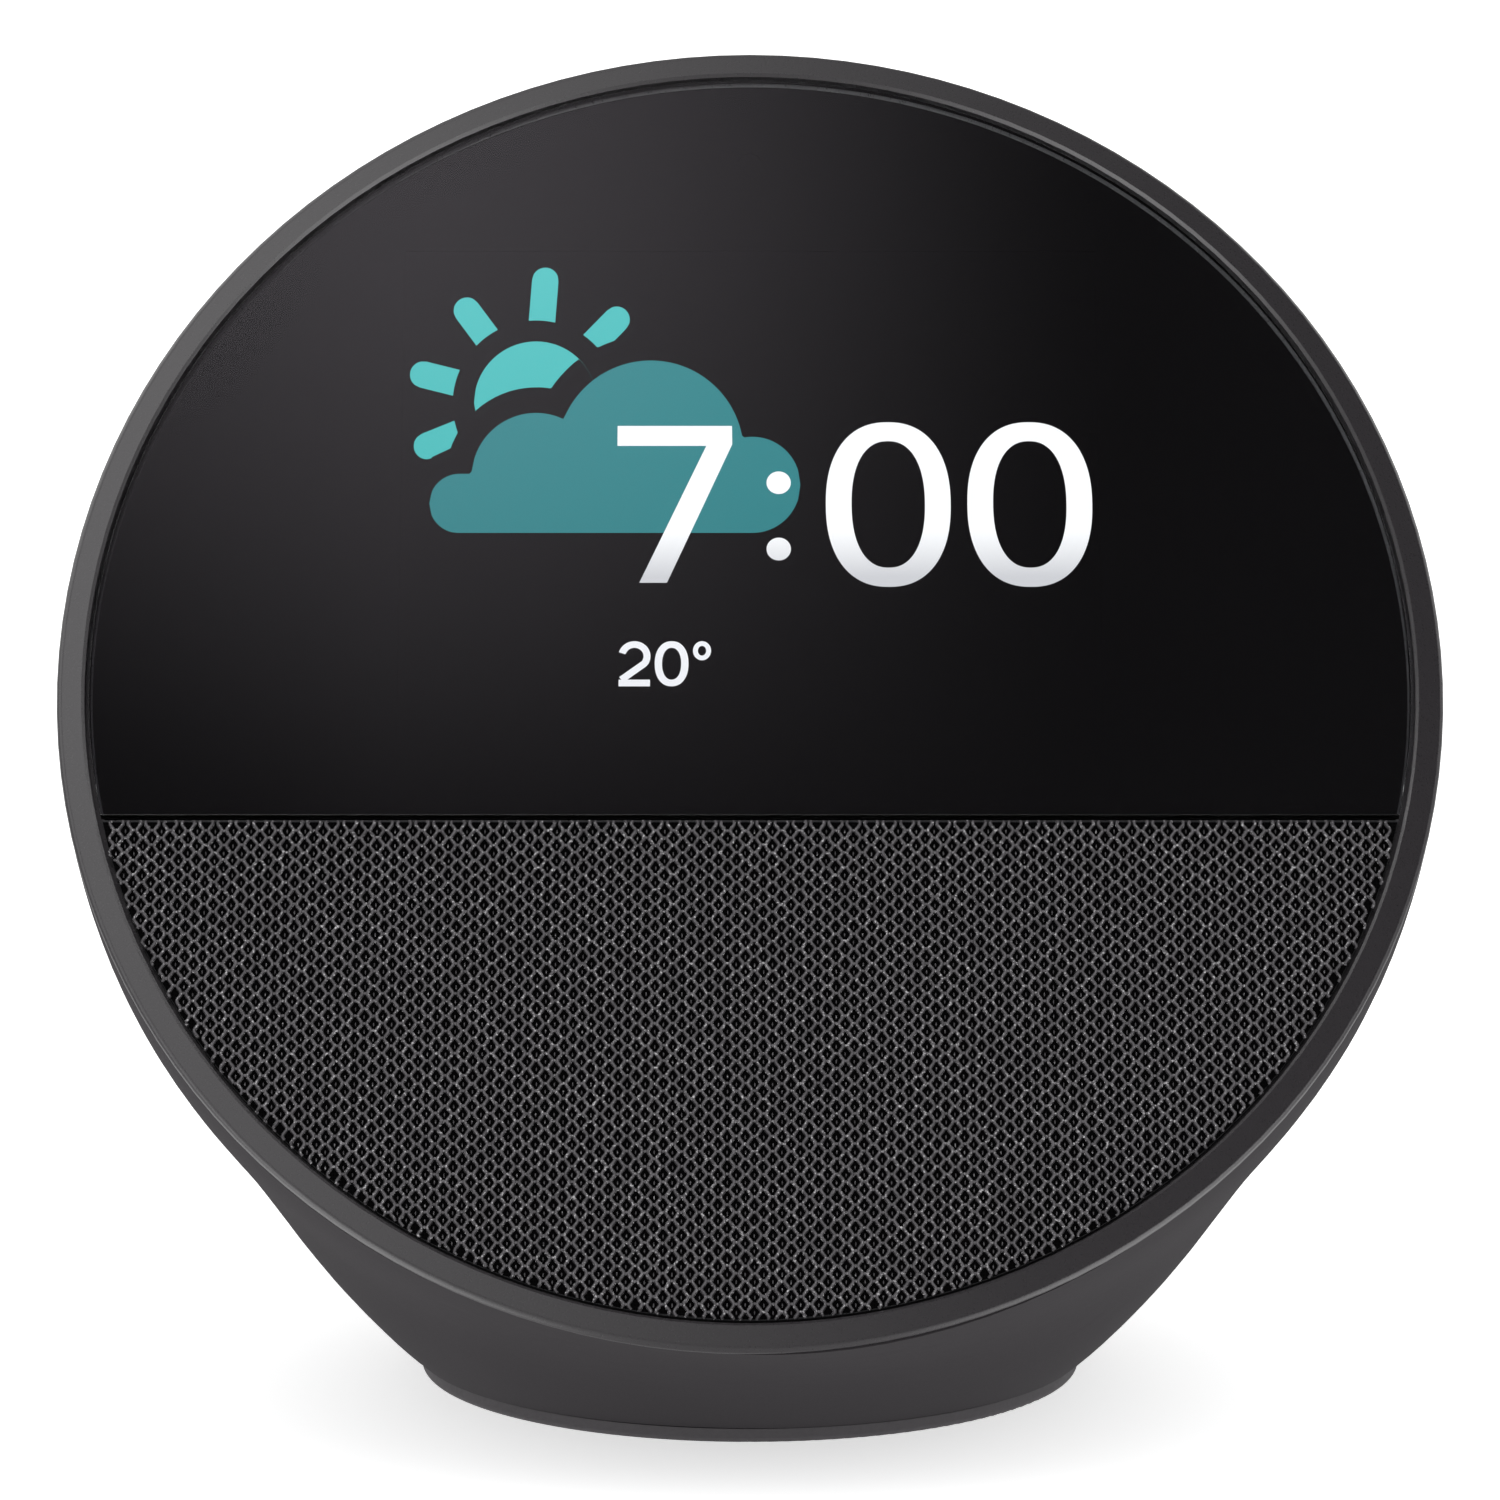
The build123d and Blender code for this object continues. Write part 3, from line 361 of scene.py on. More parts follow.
def finish_piece(mesh, name, material, body="display", smooth=True):
    """Links a mesh as a piece on a body."""
    piece = bpy.data.objects.new(name, mesh)
    bpy.context.scene.collection.objects.link(piece)
    mesh.materials.append(material)
    if smooth:
        mesh.shade_smooth()
        mesh.set_sharp_from_angle(angle=CREASE)
    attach(piece, body)
    return piece


def mesh_of(name, points, faces):
    """A mesh from points in metres and faces as rows of point numbers."""
    mesh = bpy.data.meshes.new(name)
    mesh.from_pydata([tuple(p) for p in points], [], [tuple(int(i) for i in f) for f in faces])
    mesh.update()
    return mesh


def to_row_frame(x, v, w):
    """Arrays of face coordinates in millimetres as one array of points in metres."""
    points = np.array(FACE_CENTRE) + np.outer(v, FACE_UP) + np.outer(w, FACE_OUT)
    points[:, 0] += x
    return points * MM


def segment_outline(radius, low, arc_steps):
    """The arc of a disc cut along a level line, from its right corner over the top to its left one."""
    corner = math.asin(low / radius)
    angles = np.linspace(corner, math.pi - corner, arc_steps)
    return np.stack([radius * np.cos(angles), radius * np.sin(angles)], axis=1)


# ---------------------------------------------------------------- cover glass
def inward(outline, distance):
    """An outline drawn in by a distance, for a convex closed outline that runs anticlockwise."""
    before, after = np.roll(outline, 1, 0), np.roll(outline, -1, 0)
    into, out_of = outline - before, after - outline
    normals = []
    for edge in (into, out_of):
        edge = edge / np.linalg.norm(edge, axis=1)[:, None]
        normals.append(np.stack([-edge[:, 1], edge[:, 0]], axis=1))
    middle = normals[0] + normals[1]
    middle /= np.maximum((middle * normals[0]).sum(1), 0.3)[:, None]
    return outline + middle * distance


GLASS_ROLL, ROLL_STEPS = 0.05, 3  # radius of the rolled front edge, mm
GLASS_BEVEL = 0.1  # at the back edge, mm
ARC_STEPS, BASE_STEPS = 320, 90  # points along the round and the straight edge


def cover_glass(material):
    """Glass plate with a rolled front edge, cut straight where the fabric starts."""
    outline = segment_outline(GLASS_R, GLASS_LOW, ARC_STEPS)
    base = np.linspace(outline[-1], outline[0], BASE_STEPS)[1:-1]
    outline = np.vstack([outline, base])
    rings = []
    for i in range(ROLL_STEPS + 1):
        turn = math.pi / 2 * i / ROLL_STEPS
        rings.append((GLASS_ROLL * (1 - math.sin(turn)), GLASS_FRONT - GLASS_ROLL * (1 - math.cos(turn))))
    rings.append((0.0, GLASS_BACK + GLASS_BEVEL))
    rings.append((GLASS_BEVEL, GLASS_BACK))
    points = []
    for distance, level in rings:
        ring = inward(outline, distance)
        points.append(to_row_frame(ring[:, 0], ring[:, 1], np.full(len(ring), level)))
    count = len(outline)
    faces = [list(range(count))]
    for i in range(len(rings) - 1):
        for j in range(count):
            k = (j + 1) % count
            faces.append((i * count + j, (i + 1) * count + j, (i + 1) * count + k, i * count + k))
    last = (len(rings) - 1) * count
    faces.append([last + j for j in reversed(range(count))])
    mesh = mesh_of("cover_glass_plate", np.vstack(points), faces)
    piece = finish_piece(mesh, "cover_glass_plate", material)
    # The two large faces stay flat, so that they mirror as a plane does.
    for flat in (piece.data.polygons[0], piece.data.polygons[-1]):
        flat.use_smooth = False
    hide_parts("cover_glass")


# ---------------------------------------------------------------- grille cloth
# All in mm on the face.
THREAD_PITCH = 0.727  # between neighbouring threads
THREAD_PERIOD = 1.26  # length of one diamond
THREAD_STEPS = 8  # stretches of tube in one diamond
THREAD_SWING = 0.172  # how far a thread swings to each side
THREAD_R = 0.15
THREAD_W = -0.62
THREAD_WEAVE = 0.03  # over and under at each meeting
KNOT_W, KNOT_SIZE = -0.57, (0.2, 0.15, 0.11)  # half sizes in x, v and w
STITCH_W, STITCH_SIZE = -0.85, (0.075, 0.2, 0.08)
KNOT_MARGIN, STITCH_MARGIN = 0.3, 0.5  # they stay this far inside the cloth's edge
BEAD_JITTER = 0.015
RIM_GAP = 0.03  # threads end this far inside the cloth's circle
TOP_GAP = 0.06  # and this far below its straight edge
SIDE_GAP = 0.4  # no thread's lower end is worked out nearer than this to the circle's side
BACKING_W = -0.93
BACKING_ROWS, BACKING_ACROSS = 70, 220  # points in the backing's grid
TURN_IN = 0.24  # width of the strip that turns in over the panel's edge
LAST_COLUMN = int(FABRIC_R / THREAD_PITCH)  # columns run from minus this to this


def turned_in(x, v):
    """How far the cloth falls back near its edge."""
    room = np.minimum(FABRIC_R - np.hypot(x, v), FABRIC_TOP - v)
    short = np.clip(TURN_IN - room, 0, TURN_IN)
    return TURN_IN - np.sqrt(TURN_IN**2 - short**2)


def thread_path(column, random):
    """Centre line of one thread of the mesh, bottom to top."""
    x0 = column * THREAD_PITCH
    reach = FABRIC_R - RIM_GAP
    low, high = -math.sqrt(reach**2 - min(abs(x0), reach - SIDE_GAP) ** 2), FABRIC_TOP - TOP_GAP
    if high - low < THREAD_PERIOD:
        return None
    step = (high - low) / max(2, round((high - low) / THREAD_PERIOD * THREAD_STEPS))
    v = np.arange(low, high + 1e-6, step)
    # a real thread strays a little from its place and from its rhythm
    drift = random.normal(0, 0.012) + 0.016 * np.sin(v * 0.9 + random.uniform(0, 6.3))
    phase = 2 * math.pi * v / THREAD_PERIOD + math.pi * (column % 2)
    wander = phase + 0.12 * np.sin(v * 1.7 + x0)
    x = x0 + THREAD_SWING * np.sin(wander) + drift
    rim = np.sqrt(np.maximum(reach**2 - v**2, 0))
    x = np.clip(x, -rim, rim)
    w = THREAD_W + THREAD_WEAVE * np.sin(phase) - turned_in(x, v)
    return x, v, w


def thread_mesh(name, columns, random, sides=6):
    """Tubes along the threads, joined in one mesh."""
    all_points, all_faces, start = [], [], 0
    angles = 2 * math.pi * np.arange(sides) / sides
    for column in columns:
        path = thread_path(column, random)
        if path is None:
            continue
        x, v, w = path
        line = np.stack([x, v, w], axis=1)
        heading = np.gradient(line, axis=0)
        heading /= np.linalg.norm(heading, axis=1)[:, None]
        side = np.cross(heading, (0, 0, 1))
        side /= np.linalg.norm(side, axis=1)[:, None]
        out = np.cross(side, heading)
        thick = THREAD_R * (1 + 0.1 * np.sin(v * 5.1 + column))
        circle = side[:, None] * np.cos(angles)[:, None] + out[:, None] * np.sin(angles)[:, None]
        tube = (line[:, None] + circle * thick[:, None, None]).reshape(-1, 3)
        all_points.append(to_row_frame(tube[:, 0], tube[:, 1], tube[:, 2]))
        rings = len(line)
        i, j = np.meshgrid(np.arange(rings - 1), np.arange(sides), indexing="ij")
        k = (j + 1) % sides
        a, b = i * sides + j, i * sides + k
        quads = np.stack([a, b, b + sides, a + sides], axis=2)
        all_faces.append(start + quads.reshape(-1, 4))
        start += rings * sides
    return mesh_of(name, np.vstack(all_points), np.vstack(all_faces))


def openings_of_the_mesh(margin, even=0.75, odd=0.25):
    """Centres (x, v) of the openings between the threads, as far as a margin from the cloth's edge.

    Even and odd say where in a period they lie, for even and odd columns.
    """
    for column in range(-LAST_COLUMN, LAST_COLUMN):
        x = (column + 0.5) * THREAD_PITCH
        first = even if column % 2 == 0 else odd
        for row in range(-int(FABRIC_R / THREAD_PERIOD) - 1, 0):
            v = (row + first) * THREAD_PERIOD
            if math.hypot(x, v) < FABRIC_R - margin and v < FABRIC_TOP - margin:
                yield x, v


def meetings_of_the_mesh(margin):
    """Places (x, v) where neighbouring threads meet: half a period from the openings."""
    return openings_of_the_mesh(margin, 0.25, 0.75)


def bead_mesh(name, places, half_x, half_v, half_w, random, sides=6):
    """Small domes of yarn with two rings of points, one at each place (x, v, w), as one mesh."""
    turns = 2 * math.pi * np.arange(sides) / sides
    middle = np.stack([np.cos(turns), np.sin(turns)], axis=1)
    unit = [(0, 0, 1), *[(0.72 * c, 0.72 * s, 0.7) for c, s in middle], *[(c, s, 0) for c, s in middle]]
    unit = np.array(unit) * (half_x, half_v, half_w)
    after = [(j + 1) % sides for j in range(sides)]
    tile = [(0, 1 + j, 1 + after[j]) for j in range(sides)]
    tile += [(1 + j, 1 + sides + j, 1 + sides + after[j], 1 + after[j]) for j in range(sides)]
    tile.append(tuple(1 + sides + j for j in reversed(range(sides))))
    points, faces = [], []
    for i, place in enumerate(places):
        bead = unit + np.array(place) + random.normal(0, BEAD_JITTER, 3)
        points.append(to_row_frame(bead[:, 0], bead[:, 1], bead[:, 2]))
        faces += [tuple(i * len(unit) + j for j in face) for face in tile]
    return mesh_of(name, np.vstack(points), faces)


def grille_cloth(materials):
    """The open mesh cloth over the speaker: threads, knots and stitches on a dark backing cloth."""
    random = np.random.default_rng(7)
    # the yarn's colours: the painted shade of its sides, the painted highlight of its crown, and its painted
    # glints
    yarn = knitted("grille_yarn", (0.012, 0.011, 0.012), (0.116, 0.110, 0.117), (0.5, 0.49, 0.5))
    for name, odd in (("grille_threads_even", 0), ("grille_threads_odd", 1)):
        chosen = [c for c in range(-LAST_COLUMN, LAST_COLUMN + 1) if c % 2 == odd]
        mesh = thread_mesh(name, chosen, random)
        finish_piece(mesh, name, yarn)
    stitches = [(x, v, STITCH_W) for x, v in openings_of_the_mesh(STITCH_MARGIN)]
    knots = [(x, v, KNOT_W) for x, v in meetings_of_the_mesh(KNOT_MARGIN)]
    for name, places, size in (("grille_back_stitches", stitches, STITCH_SIZE),
                               ("grille_knots", knots, KNOT_SIZE)):
        mesh = bead_mesh(name, places, *size, random)
        finish_piece(mesh, name, yarn)
    # the backing: a grid that narrows with the circle, a little inside the opening all round
    v = np.linspace(-FABRIC_R + 0.12, FABRIC_TOP - 0.04, BACKING_ROWS)
    half = np.sqrt(np.maximum((FABRIC_R - 0.08) ** 2 - v**2, 0))
    x = np.outer(half, np.linspace(-1, 1, BACKING_ACROSS))
    v = np.repeat(v[:, None], BACKING_ACROSS, 1)
    x, v = x.ravel(), v.ravel()
    w = BACKING_W - 0.3 * turned_in(x, v)
    i, j = np.meshgrid(np.arange(BACKING_ROWS - 1), np.arange(BACKING_ACROSS - 1), indexing="ij")
    a = i * BACKING_ACROSS + j
    b = a + BACKING_ACROSS
    quads = np.stack([a, a + 1, b + 1, b], axis=2).reshape(-1, 4)
    mesh = mesh_of("grille_backing_cloth", to_row_frame(x, v, w), quads)
    cloth = finish_piece(mesh, "grille_backing_cloth", materials["grille_fabric"])
    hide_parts("grille_fabric")


# ---------------------------------------------------------------- the picture on the display
PLATE_T = 0.03  # thickness of the lit layer


def plate(name, parts, material, front):
    """Flat shapes on the display as one piece. A part is (outline points, faces) in face coordinates."""
    points, faces, start = [], [], 0
    for flat, polygons in parts:
        flat = np.array(flat, float)
        count = len(flat)
        for level in (front, front - PLATE_T):
            points.append(to_row_frame(flat[:, 0], flat[:, 1], np.full(count, level)))
        edges = {}
        for polygon in polygons:
            faces.append([start + i for i in polygon])
            faces.append([start + count + i for i in reversed(polygon)])
            for a, b in zip(polygon, [*polygon[1:], polygon[0]]):
                if (b, a) in edges:
                    del edges[(b, a)]
                else:
                    edges[(a, b)] = True
        faces += [(start + b, start + a, start + count + a, start + count + b) for a, b in edges]
        start += 2 * count
    mesh = mesh_of(name, np.vstack(points), faces)
    return finish_piece(mesh, name, material, smooth=False)


def between_curves(low, high, start, end, steps, place=lambda t, s: (t, s)):
    """Shape between two curves: at each place t it runs from low(t) to high(t)."""
    points = []
    for t in np.linspace(start, end, steps):
        bottom, top = low(t), max(high(t), low(t))
        points += [place(t, bottom), place(t, top)]
    faces = [(2 * i, 2 * i + 2, 2 * i + 3, 2 * i + 1) for i in range(steps - 1)]
    return points, faces


def flat_shape(*points):
    """Shape of one polygon."""
    return list(points), [list(range(len(points)))]


def disc(x, v, radius, steps=40):
    """Round dot."""
    turns = [2 * math.pi * i / steps for i in range(steps)]
    return flat_shape(*[(x + radius * math.cos(a), v + radius * math.sin(a)) for a in turns])


def loop(x, v, half_x, half_v, side, top, power, steps=96):
    """A figure 0 or a ring: a superellipse band, with its own thickness at the sides and at the top."""
    points = []
    for i in range(steps):
        a = 2 * math.pi * i / steps
        c, s = math.cos(a), math.sin(a)
        c, s = math.copysign(abs(c) ** (2 / power), c), math.copysign(abs(s) ** (2 / power), s)
        points.append((x + half_x * c, v + half_v * s))
        points.append((x + (half_x - side) * c, v + (half_v - top) * s))
    last = 2 * steps
    faces = [(2 * i, (2 * i + 2) % last, (2 * i + 3) % last, 2 * i + 1) for i in range(steps)]
    return points, faces


def arch(circle, x):
    """Half the height of a circle (centre x, centre y, radius) above a place, or nothing beside it."""
    return math.sqrt(max(circle[2] ** 2 - (x - circle[0]) ** 2, 0))


# The weather picture, in mm from its own base line. Circles are (centre x, centre y, radius).
LEFT_CAP = (-23.98, 2.42, 2.42)
BUMP = (-17.7, 4.62, 5.26)
CROWN = (-8.23, 6.52, 7.72)
RIGHT_CAP = (0.2, 3.95, 3.95)
CLOUD_BASE_TOP = 4.84
SUN = (-17.76, 10.75, 5.08)
SKY_GAP = 2.13  # dark margin round the cloud
MARGIN_STEP = 0.02  # how finely shapes are cut by that margin
RAY_HALF, RAY_INNER = 1.1, 6.85  # half width of a ray, and its distance from the sun's centre
RAYS = ((46, 9.6), (86, 10.2), (127, 9.6), (166, 9.6), (202, 9.6))  # direction in degrees, and reach
PICTURE_STRETCH = 1.08  # upwards


def cloud_low(x):
    """Lower edge of the cloud."""
    if x < LEFT_CAP[0]:
        return LEFT_CAP[1] - arch(LEFT_CAP, x)
    if x > RIGHT_CAP[0]:
        return RIGHT_CAP[1] - arch(RIGHT_CAP, x)
    return 0.0


def cloud_high(x):
    """Upper edge of the cloud."""
    heights = [CLOUD_BASE_TOP] if LEFT_CAP[0] <= x <= RIGHT_CAP[0] else []
    for circle in (LEFT_CAP, BUMP, CROWN, RIGHT_CAP):
        if abs(x - circle[0]) < circle[2]:
            heights.append(circle[1] + arch(circle, x))
    return max(heights, default=cloud_low(x))


def in_margin(x, y):
    """Is a point inside the cloud's dark margin?"""
    return any(math.hypot(x - c[0], y - c[1]) < c[2] + SKY_GAP for c in (LEFT_CAP, BUMP, CROWN))


def sun_low(x):
    """Lower edge of the sun, where the cloud's margin cuts it."""
    low = SUN[1] - arch(SUN, x)
    while low < SUN[1] + arch(SUN, x) and in_margin(x, low):
        low += MARGIN_STEP
    return low


def ray(degrees, tip):
    """One ray of the sun: hollow towards the sun, round at its tip, and cut by the cloud's margin."""
    a = math.radians(degrees)

    def place(t, s):
        return SUN[0] + s * math.cos(a) - t * math.sin(a), SUN[1] + s * math.sin(a) + t * math.cos(a)

    def low(t):
        s = math.sqrt(RAY_INNER**2 - t**2)
        while s < tip and in_margin(*place(t, s)):
            s += MARGIN_STEP
        return s

    def high(t):
        return tip + math.sqrt(max(RAY_HALF**2 - t**2, 0))

    return between_curves(low, high, -RAY_HALF, RAY_HALF, 24, place)


def picture(part):
    """Moves a shape from the weather picture's coordinates onto the face."""
    points, faces = part
    return [(x, DISPLAY_V + PICTURE_STRETCH * y) for x, y in points], faces


def weather_picture():
    """A sun with five rays behind a cloud."""
    left, right = LEFT_CAP[0] - LEFT_CAP[2], RIGHT_CAP[0] + RIGHT_CAP[2]
    cloud = between_curves(cloud_low, cloud_high, left, right, 160)
    teal = lit("screen_cloud", (0.034, 0.25, 0.27), (0.040, 0.275, 0.295), 13, 28)
    plate("screen_cloud", [picture(cloud)], teal, PICTURE_W)
    left, right = SUN[0] - SUN[2], SUN[0] + SUN[2]
    sun = between_curves(sun_low, lambda x: SUN[1] + arch(SUN, x), left, right, 80)
    rays = [ray(degrees, tip) for degrees, tip in RAYS]
    aqua = lit("screen_sun", (0.075, 0.56, 0.54), (0.10, 0.62, 0.6), 18, 36)
    plate("screen_sun", [picture(p) for p in (sun, *rays)], aqua, PICTURE_W)


def clock_figures():
    """A seven, a colon and two zeros."""
    seven = flat_shape((-10.94, 20.97), (-3.6, 20.97), (-9.07, 8.83), (-6.81, 8.83), (-1.47, 21.1),
                       (-1.49, 22.74), (-10.94, 22.74))
    dots = [disc(2.36, v, 1.0) for v in (17.68, 11.8)]
    zeros = [loop(x, 15.77, 5.14, 7.3, 2.12, 1.68, 2.3) for x in (11.38, 23.03)]
    white = lit("screen_clock", (0.62, 0.62, 0.64), (1.0, 1.0, 1.0), 8.5, 12.5, 1.15)
    plate("screen_clock", [seven, *dots, *zeros], white, FIGURES_W)


def stroke(points, width):
    """A line of even width through points, as one strip."""
    line = np.array(points, float)
    heading = np.gradient(line, axis=0)
    heading /= np.linalg.norm(heading, axis=1)[:, None]
    side = np.stack([-heading[:, 1], heading[:, 0]], axis=1) * width / 2
    strip = np.stack([line + side, line - side], axis=1).reshape(-1, 2)
    return strip.tolist(), [(2 * i, 2 * i + 1, 2 * i + 3, 2 * i + 2) for i in range(len(line) - 1)]


def temperature():
    """Two figures and a degree ring, below the clock."""
    low, high, width = -0.24, 3.69, 0.57
    bowl = 1.03
    turns = np.radians(np.linspace(165, -38, 26))
    centre = (-9.44, high - width / 2 - bowl)
    curve = [(centre[0] + bowl * math.cos(a), centre[1] + bowl * math.sin(a)) for a in turns]
    curve.append((-10.5, low + width))
    two = stroke(curve, width)
    foot = flat_shape((-10.72, low), (-8.16, low), (-8.16, low + width), (-10.72, low + width))
    zero = loop(-6.4, (low + high) / 2, 1.38, (high - low) / 2, 0.6, width, 2.2, 48)
    degree = loop(-3.92, 2.86, 0.74, 0.83, 0.4, 0.4, 2.0, 32)
    white = lit("screen_temperature", (0.9, 0.9, 0.92), (0.95, 0.95, 0.97), -1, 4, 1.1)
    plate("screen_temperature", [two, foot, zero, degree], white, FIGURES_W)


# ---------------------------------------------------------------- signs on the buttons
def crest_frame(node):
    """Centre of a button's top and its axes: across, towards the rear, and out."""
    push = next(j for j in frame["joints"] if node.startswith(j["child"]))
    out = -Vector(push["axis"]).normalized()
    across = Vector((1, 0, 0))
    rear = out.cross(across).normalized()
    low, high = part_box(node)
    return (low + high) / 2, across, rear, out


INK_LIFT, INK_SINK = 0.02, -0.03  # faces of the printed signs above and below the button's skin, mm
PROBE = 0.02  # how far above a button's middle the rays that find its skin start, metres


def button_sign(node, body, strips, material):
    """Thin printed sign that follows a button's curved top. A strip is (points in mm, width)."""
    tree = BVHTree.FromObject(frame["nodes"][node], bpy.context.evaluated_depsgraph_get())
    centre, across, rear, out = crest_frame(node)
    points, faces, start = [], [], 0
    for line, width in strips:
        flat, quads = stroke(line, width)
        for lift in (INK_LIFT, INK_SINK):
            for x, y in flat:
                above = centre + (across * x + rear * y) * MM + out * PROBE
                hit = tree.ray_cast(above, -out)[0]
                points.append(hit + out * lift * MM)
        count = len(flat)
        for quad in quads:
            faces.append([start + i for i in quad])
            faces.append([start + count + i for i in reversed(quad)])
        rim = [*range(0, count, 2), *range(count - 1, 0, -2)]
        for a, b in zip(rim, [*rim[1:], rim[0]]):
            faces.append((start + a, start + count + a, start + count + b, start + b))
        start += 2 * count
    mesh = mesh_of(node + "_sign", points, faces)
    bm = bmesh.new()
    bm.from_mesh(mesh)
    bmesh.ops.recalc_face_normals(bm, faces=bm.faces)
    bm.to_mesh(mesh)
    bm.free()
    finish_piece(mesh, node + "_sign", material, body)


def straight(start, end, steps=9):
    """Straight line, for the signs."""
    return [tuple(p) for p in np.linspace(start, end, steps)]


def bow(x, y, half_x, half_y, start, end, steps=20):
    """Arc between two angles, for the signs."""
    turns = np.radians(np.linspace(start, end, steps))
    return [(x + half_x * math.cos(a), y + half_y * math.sin(a)) for a in turns]


def button_signs():
    """A minus, a plus and a crossed-out microphone."""
    ink = grained("sign_ink", (0.26, 0.26, 0.27), 0.6, 0.0001, 0.000004)
    level = (straight((-1.3, 0), (1.3, 0)), 0.34)
    upright = (straight((0, -1.3), (0, 1.3)), 0.34)
    capsule = (bow(0, 0.35, 0.55, 1.05, 0, 360, 32), 0.26)
    cradle = (bow(0, 0.1, 1.1, 1.2, 190, 350), 0.26)
    stand = (straight((0, -1.12), (0, -1.65), 4), 0.26)
    slash = (straight((-1.5, 1.45), (1.5, -1.5)), 0.28)
    button_sign("volume_down_button", "volume_down", [level], ink)
    button_sign("volume_up_button", "volume_up", [level, upright], ink)
    button_sign("microphone_mute_button", "microphone_mute", [capsule, cradle, stand, slash], ink)


# ---------------------------------------------------------------- floor, light and camera
FLOOR_HALF = 4.0  # metres
FLOOR_GLOW = 0.56  # brings the lit floor up to the white of the studio
MIRROR_Y, MIRROR_Z = -0.654, 0.757  # where the leaning glass mirrors a camera in front of it
PANEL_DARK, PANEL_GLOW = 0.07, 0.7  # the panel there, and what its upper left adds
PANEL_TINT = (1, 0.92, 1)
ROOM_LIGHT = 1.08  # of the room at the panel's left
ROOM_LOW = 0.6  # share of that light near the ground
WING_LIGHT = 1.4  # of the soft boxes on both sides
AROUND_LIGHT = 0.33  # of all the rest
CAMERA_AT = (0, -0.60056, 0.14679)
CAMERA_DOWN = 8.88  # degrees
CAMERA_LENS = 172.8  # mm, for a sensor 36 mm wide


def pale_floor():
    """White floor that fades into the studio."""
    material, nodes, links, shader = new_material("floor")
    slow = noise(nodes, links, coordinates(nodes), 3, 2)
    colours = between(nodes, links, slow, (0.93, 0.93, 0.93), (0.95, 0.95, 0.95))
    links.new(colours, shader.inputs["Base Color"])
    shader.inputs["Roughness"].default_value = 0.9
    shader.inputs["Specular IOR Level"].default_value = 0.1
    shader.inputs["Emission Color"].default_value = (1, 1, 1, 1)
    shader.inputs["Emission Strength"].default_value = FLOOR_GLOW
    corners = [(x * FLOOR_HALF, y * FLOOR_HALF, 0) for x, y in ((-1, -1), (1, -1), (1, 1), (-1, 1))]
    mesh = mesh_of("floor", corners, [(0, 1, 2, 3)])
    mesh.materials.append(material)
    floor = bpy.data.objects.new("floor", mesh)
    bpy.context.scene.collection.objects.link(floor)
    floor.visible_glossy = False  # the glass mirrors the studio, not the floor


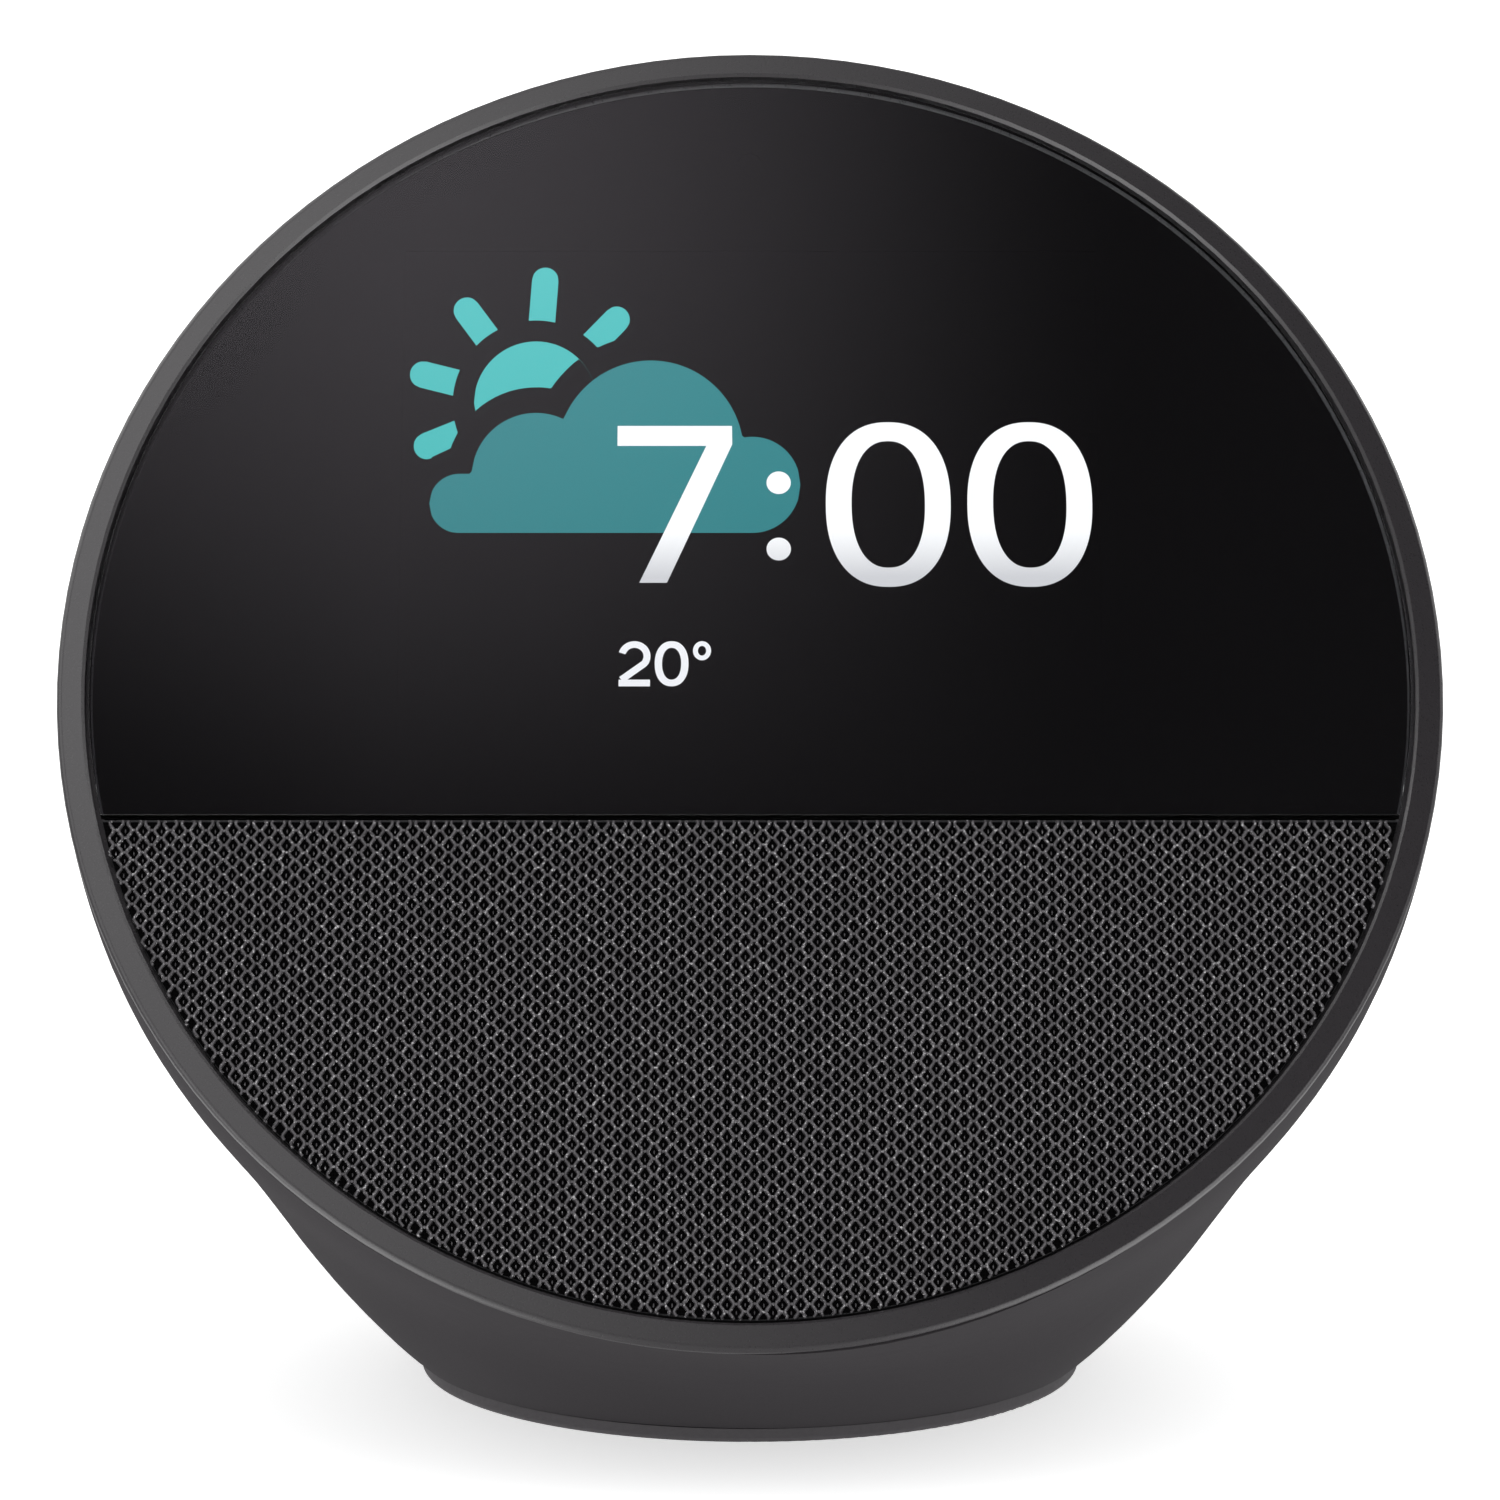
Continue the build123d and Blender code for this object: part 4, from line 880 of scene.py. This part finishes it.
def studio_world():
    """White tent, and a studio that only reflections see.

    A dark panel hangs where the leaning glass mirrors the camera. It grows lighter towards its upper left.
    The room around it is bright at the left and dark at the right, with a soft box on each side.
    """
    world = bpy.data.worlds.new("studio")
    bpy.context.scene.world = world
    world.use_nodes = True
    nodes, links = world.node_tree.nodes, world.node_tree.links

    def calc(operation, first, second):
        return calculated(nodes, links, operation, first, second)

    def ramp(value, low, high, least, most):
        return spread(nodes, links, value, low, high, least, most, "SMOOTHSTEP")

    def mixed(first, second, share):
        """From the second to the first, as the share goes from 0 to 1."""
        rest = calc("SUBTRACT", 1.0, share)
        return calc("ADD", calc("MULTIPLY", first, share), calc("MULTIPLY", second, rest))

    parts = nodes.new("ShaderNodeSeparateXYZ")
    links.new(nodes.new("ShaderNodeTexCoord").outputs["Generated"], parts.inputs["Vector"])
    x, y, z = parts.outputs
    # the panel, and the glow in its upper left, whose lower edge slants
    ahead = calc("ADD", calc("MULTIPLY", y, MIRROR_Y), calc("MULTIPLY", z, MIRROR_Z))
    panel = ramp(ahead, 0, 1, 0.90, 0.985)
    beyond = calc("MINIMUM", calc("ADD", x, 0.05), 0.0)
    raised = calc("ADD", z, calc("MULTIPLY", beyond, 0.25))
    leftward = ramp(calc("MULTIPLY", x, -1), 0, 1, -0.055, 0.055)
    glow = calc("MULTIPLY", leftward, ramp(raised, 0, 1, 0.735, 0.812))
    mirrored = calc("ADD", calc("MULTIPLY", glow, PANEL_GLOW), PANEL_DARK)
    # the room around the panel
    side = ramp(x, ROOM_LIGHT, 0.0, -0.45, 0.4)
    height = ramp(z, ROOM_LOW, 1.0, 0.3, 0.7)
    close = ramp(ahead, 0.0, 1.0, 0.45, 0.7)
    room = calc("MULTIPLY", calc("MULTIPLY", side, height), close)
    # the soft boxes on both sides, dim behind the object, and the even light of all the rest
    aside = calc("ABSOLUTE", x, 0)
    wings = calc("MULTIPLY", ramp(aside, 0.0, WING_LIGHT, 0.25, 0.6), ramp(aside, 1.0, 0.0, 0.75, 0.95))
    wings = calc("MULTIPLY", wings, ramp(y, 1.0, 0.3, 0.35, 0.8))
    wings = calc("ADD", wings, AROUND_LIGHT)
    around = calc("ADD", room, calc("MULTIPLY", wings, calc("SUBTRACT", 1.0, close)))
    facing = mixed(mirrored, around, panel)
    # all light but reflections comes evenly from the tent, at strength 1
    reflected = nodes.new("ShaderNodeLightPath").outputs["Is Glossy Ray"]
    strength = calc("ADD", calc("MULTIPLY", reflected, facing), calc("SUBTRACT", 1.0, reflected))
    links.new(strength, nodes["Background"].inputs["Strength"])
    tint = calc("MULTIPLY", reflected, panel)
    links.new(between(nodes, links, tint, (1, 1, 1), PANEL_TINT), nodes["Background"].inputs["Color"])


def camera():
    """The photograph's view: from in front, just above the object's top and looking down a little."""
    data = bpy.data.cameras.new("camera")
    data.lens = CAMERA_LENS
    data.sensor_width = 36
    cam = bpy.data.objects.new("camera", data)
    cam.location = CAMERA_AT
    cam.rotation_euler = (math.radians(90 - CAMERA_DOWN), 0, 0)
    bpy.context.scene.collection.objects.link(cam)
    bpy.context.scene.camera = cam


def studio():
    """Camera, floor and light, with plain colours."""
    camera()
    pale_floor()
    studio_world()
    bpy.context.scene.view_settings.view_transform = "Standard"
    bpy.context.scene.view_settings.look = "None"


# ---------------------------------------------------------------- the whole scene
studio()
materials = make_materials()
dress_cad_nodes(materials)
cover_glass(materials["cover_glass"])
grille_cloth(materials)
weather_picture()
clock_figures()
temperature()
button_signs()
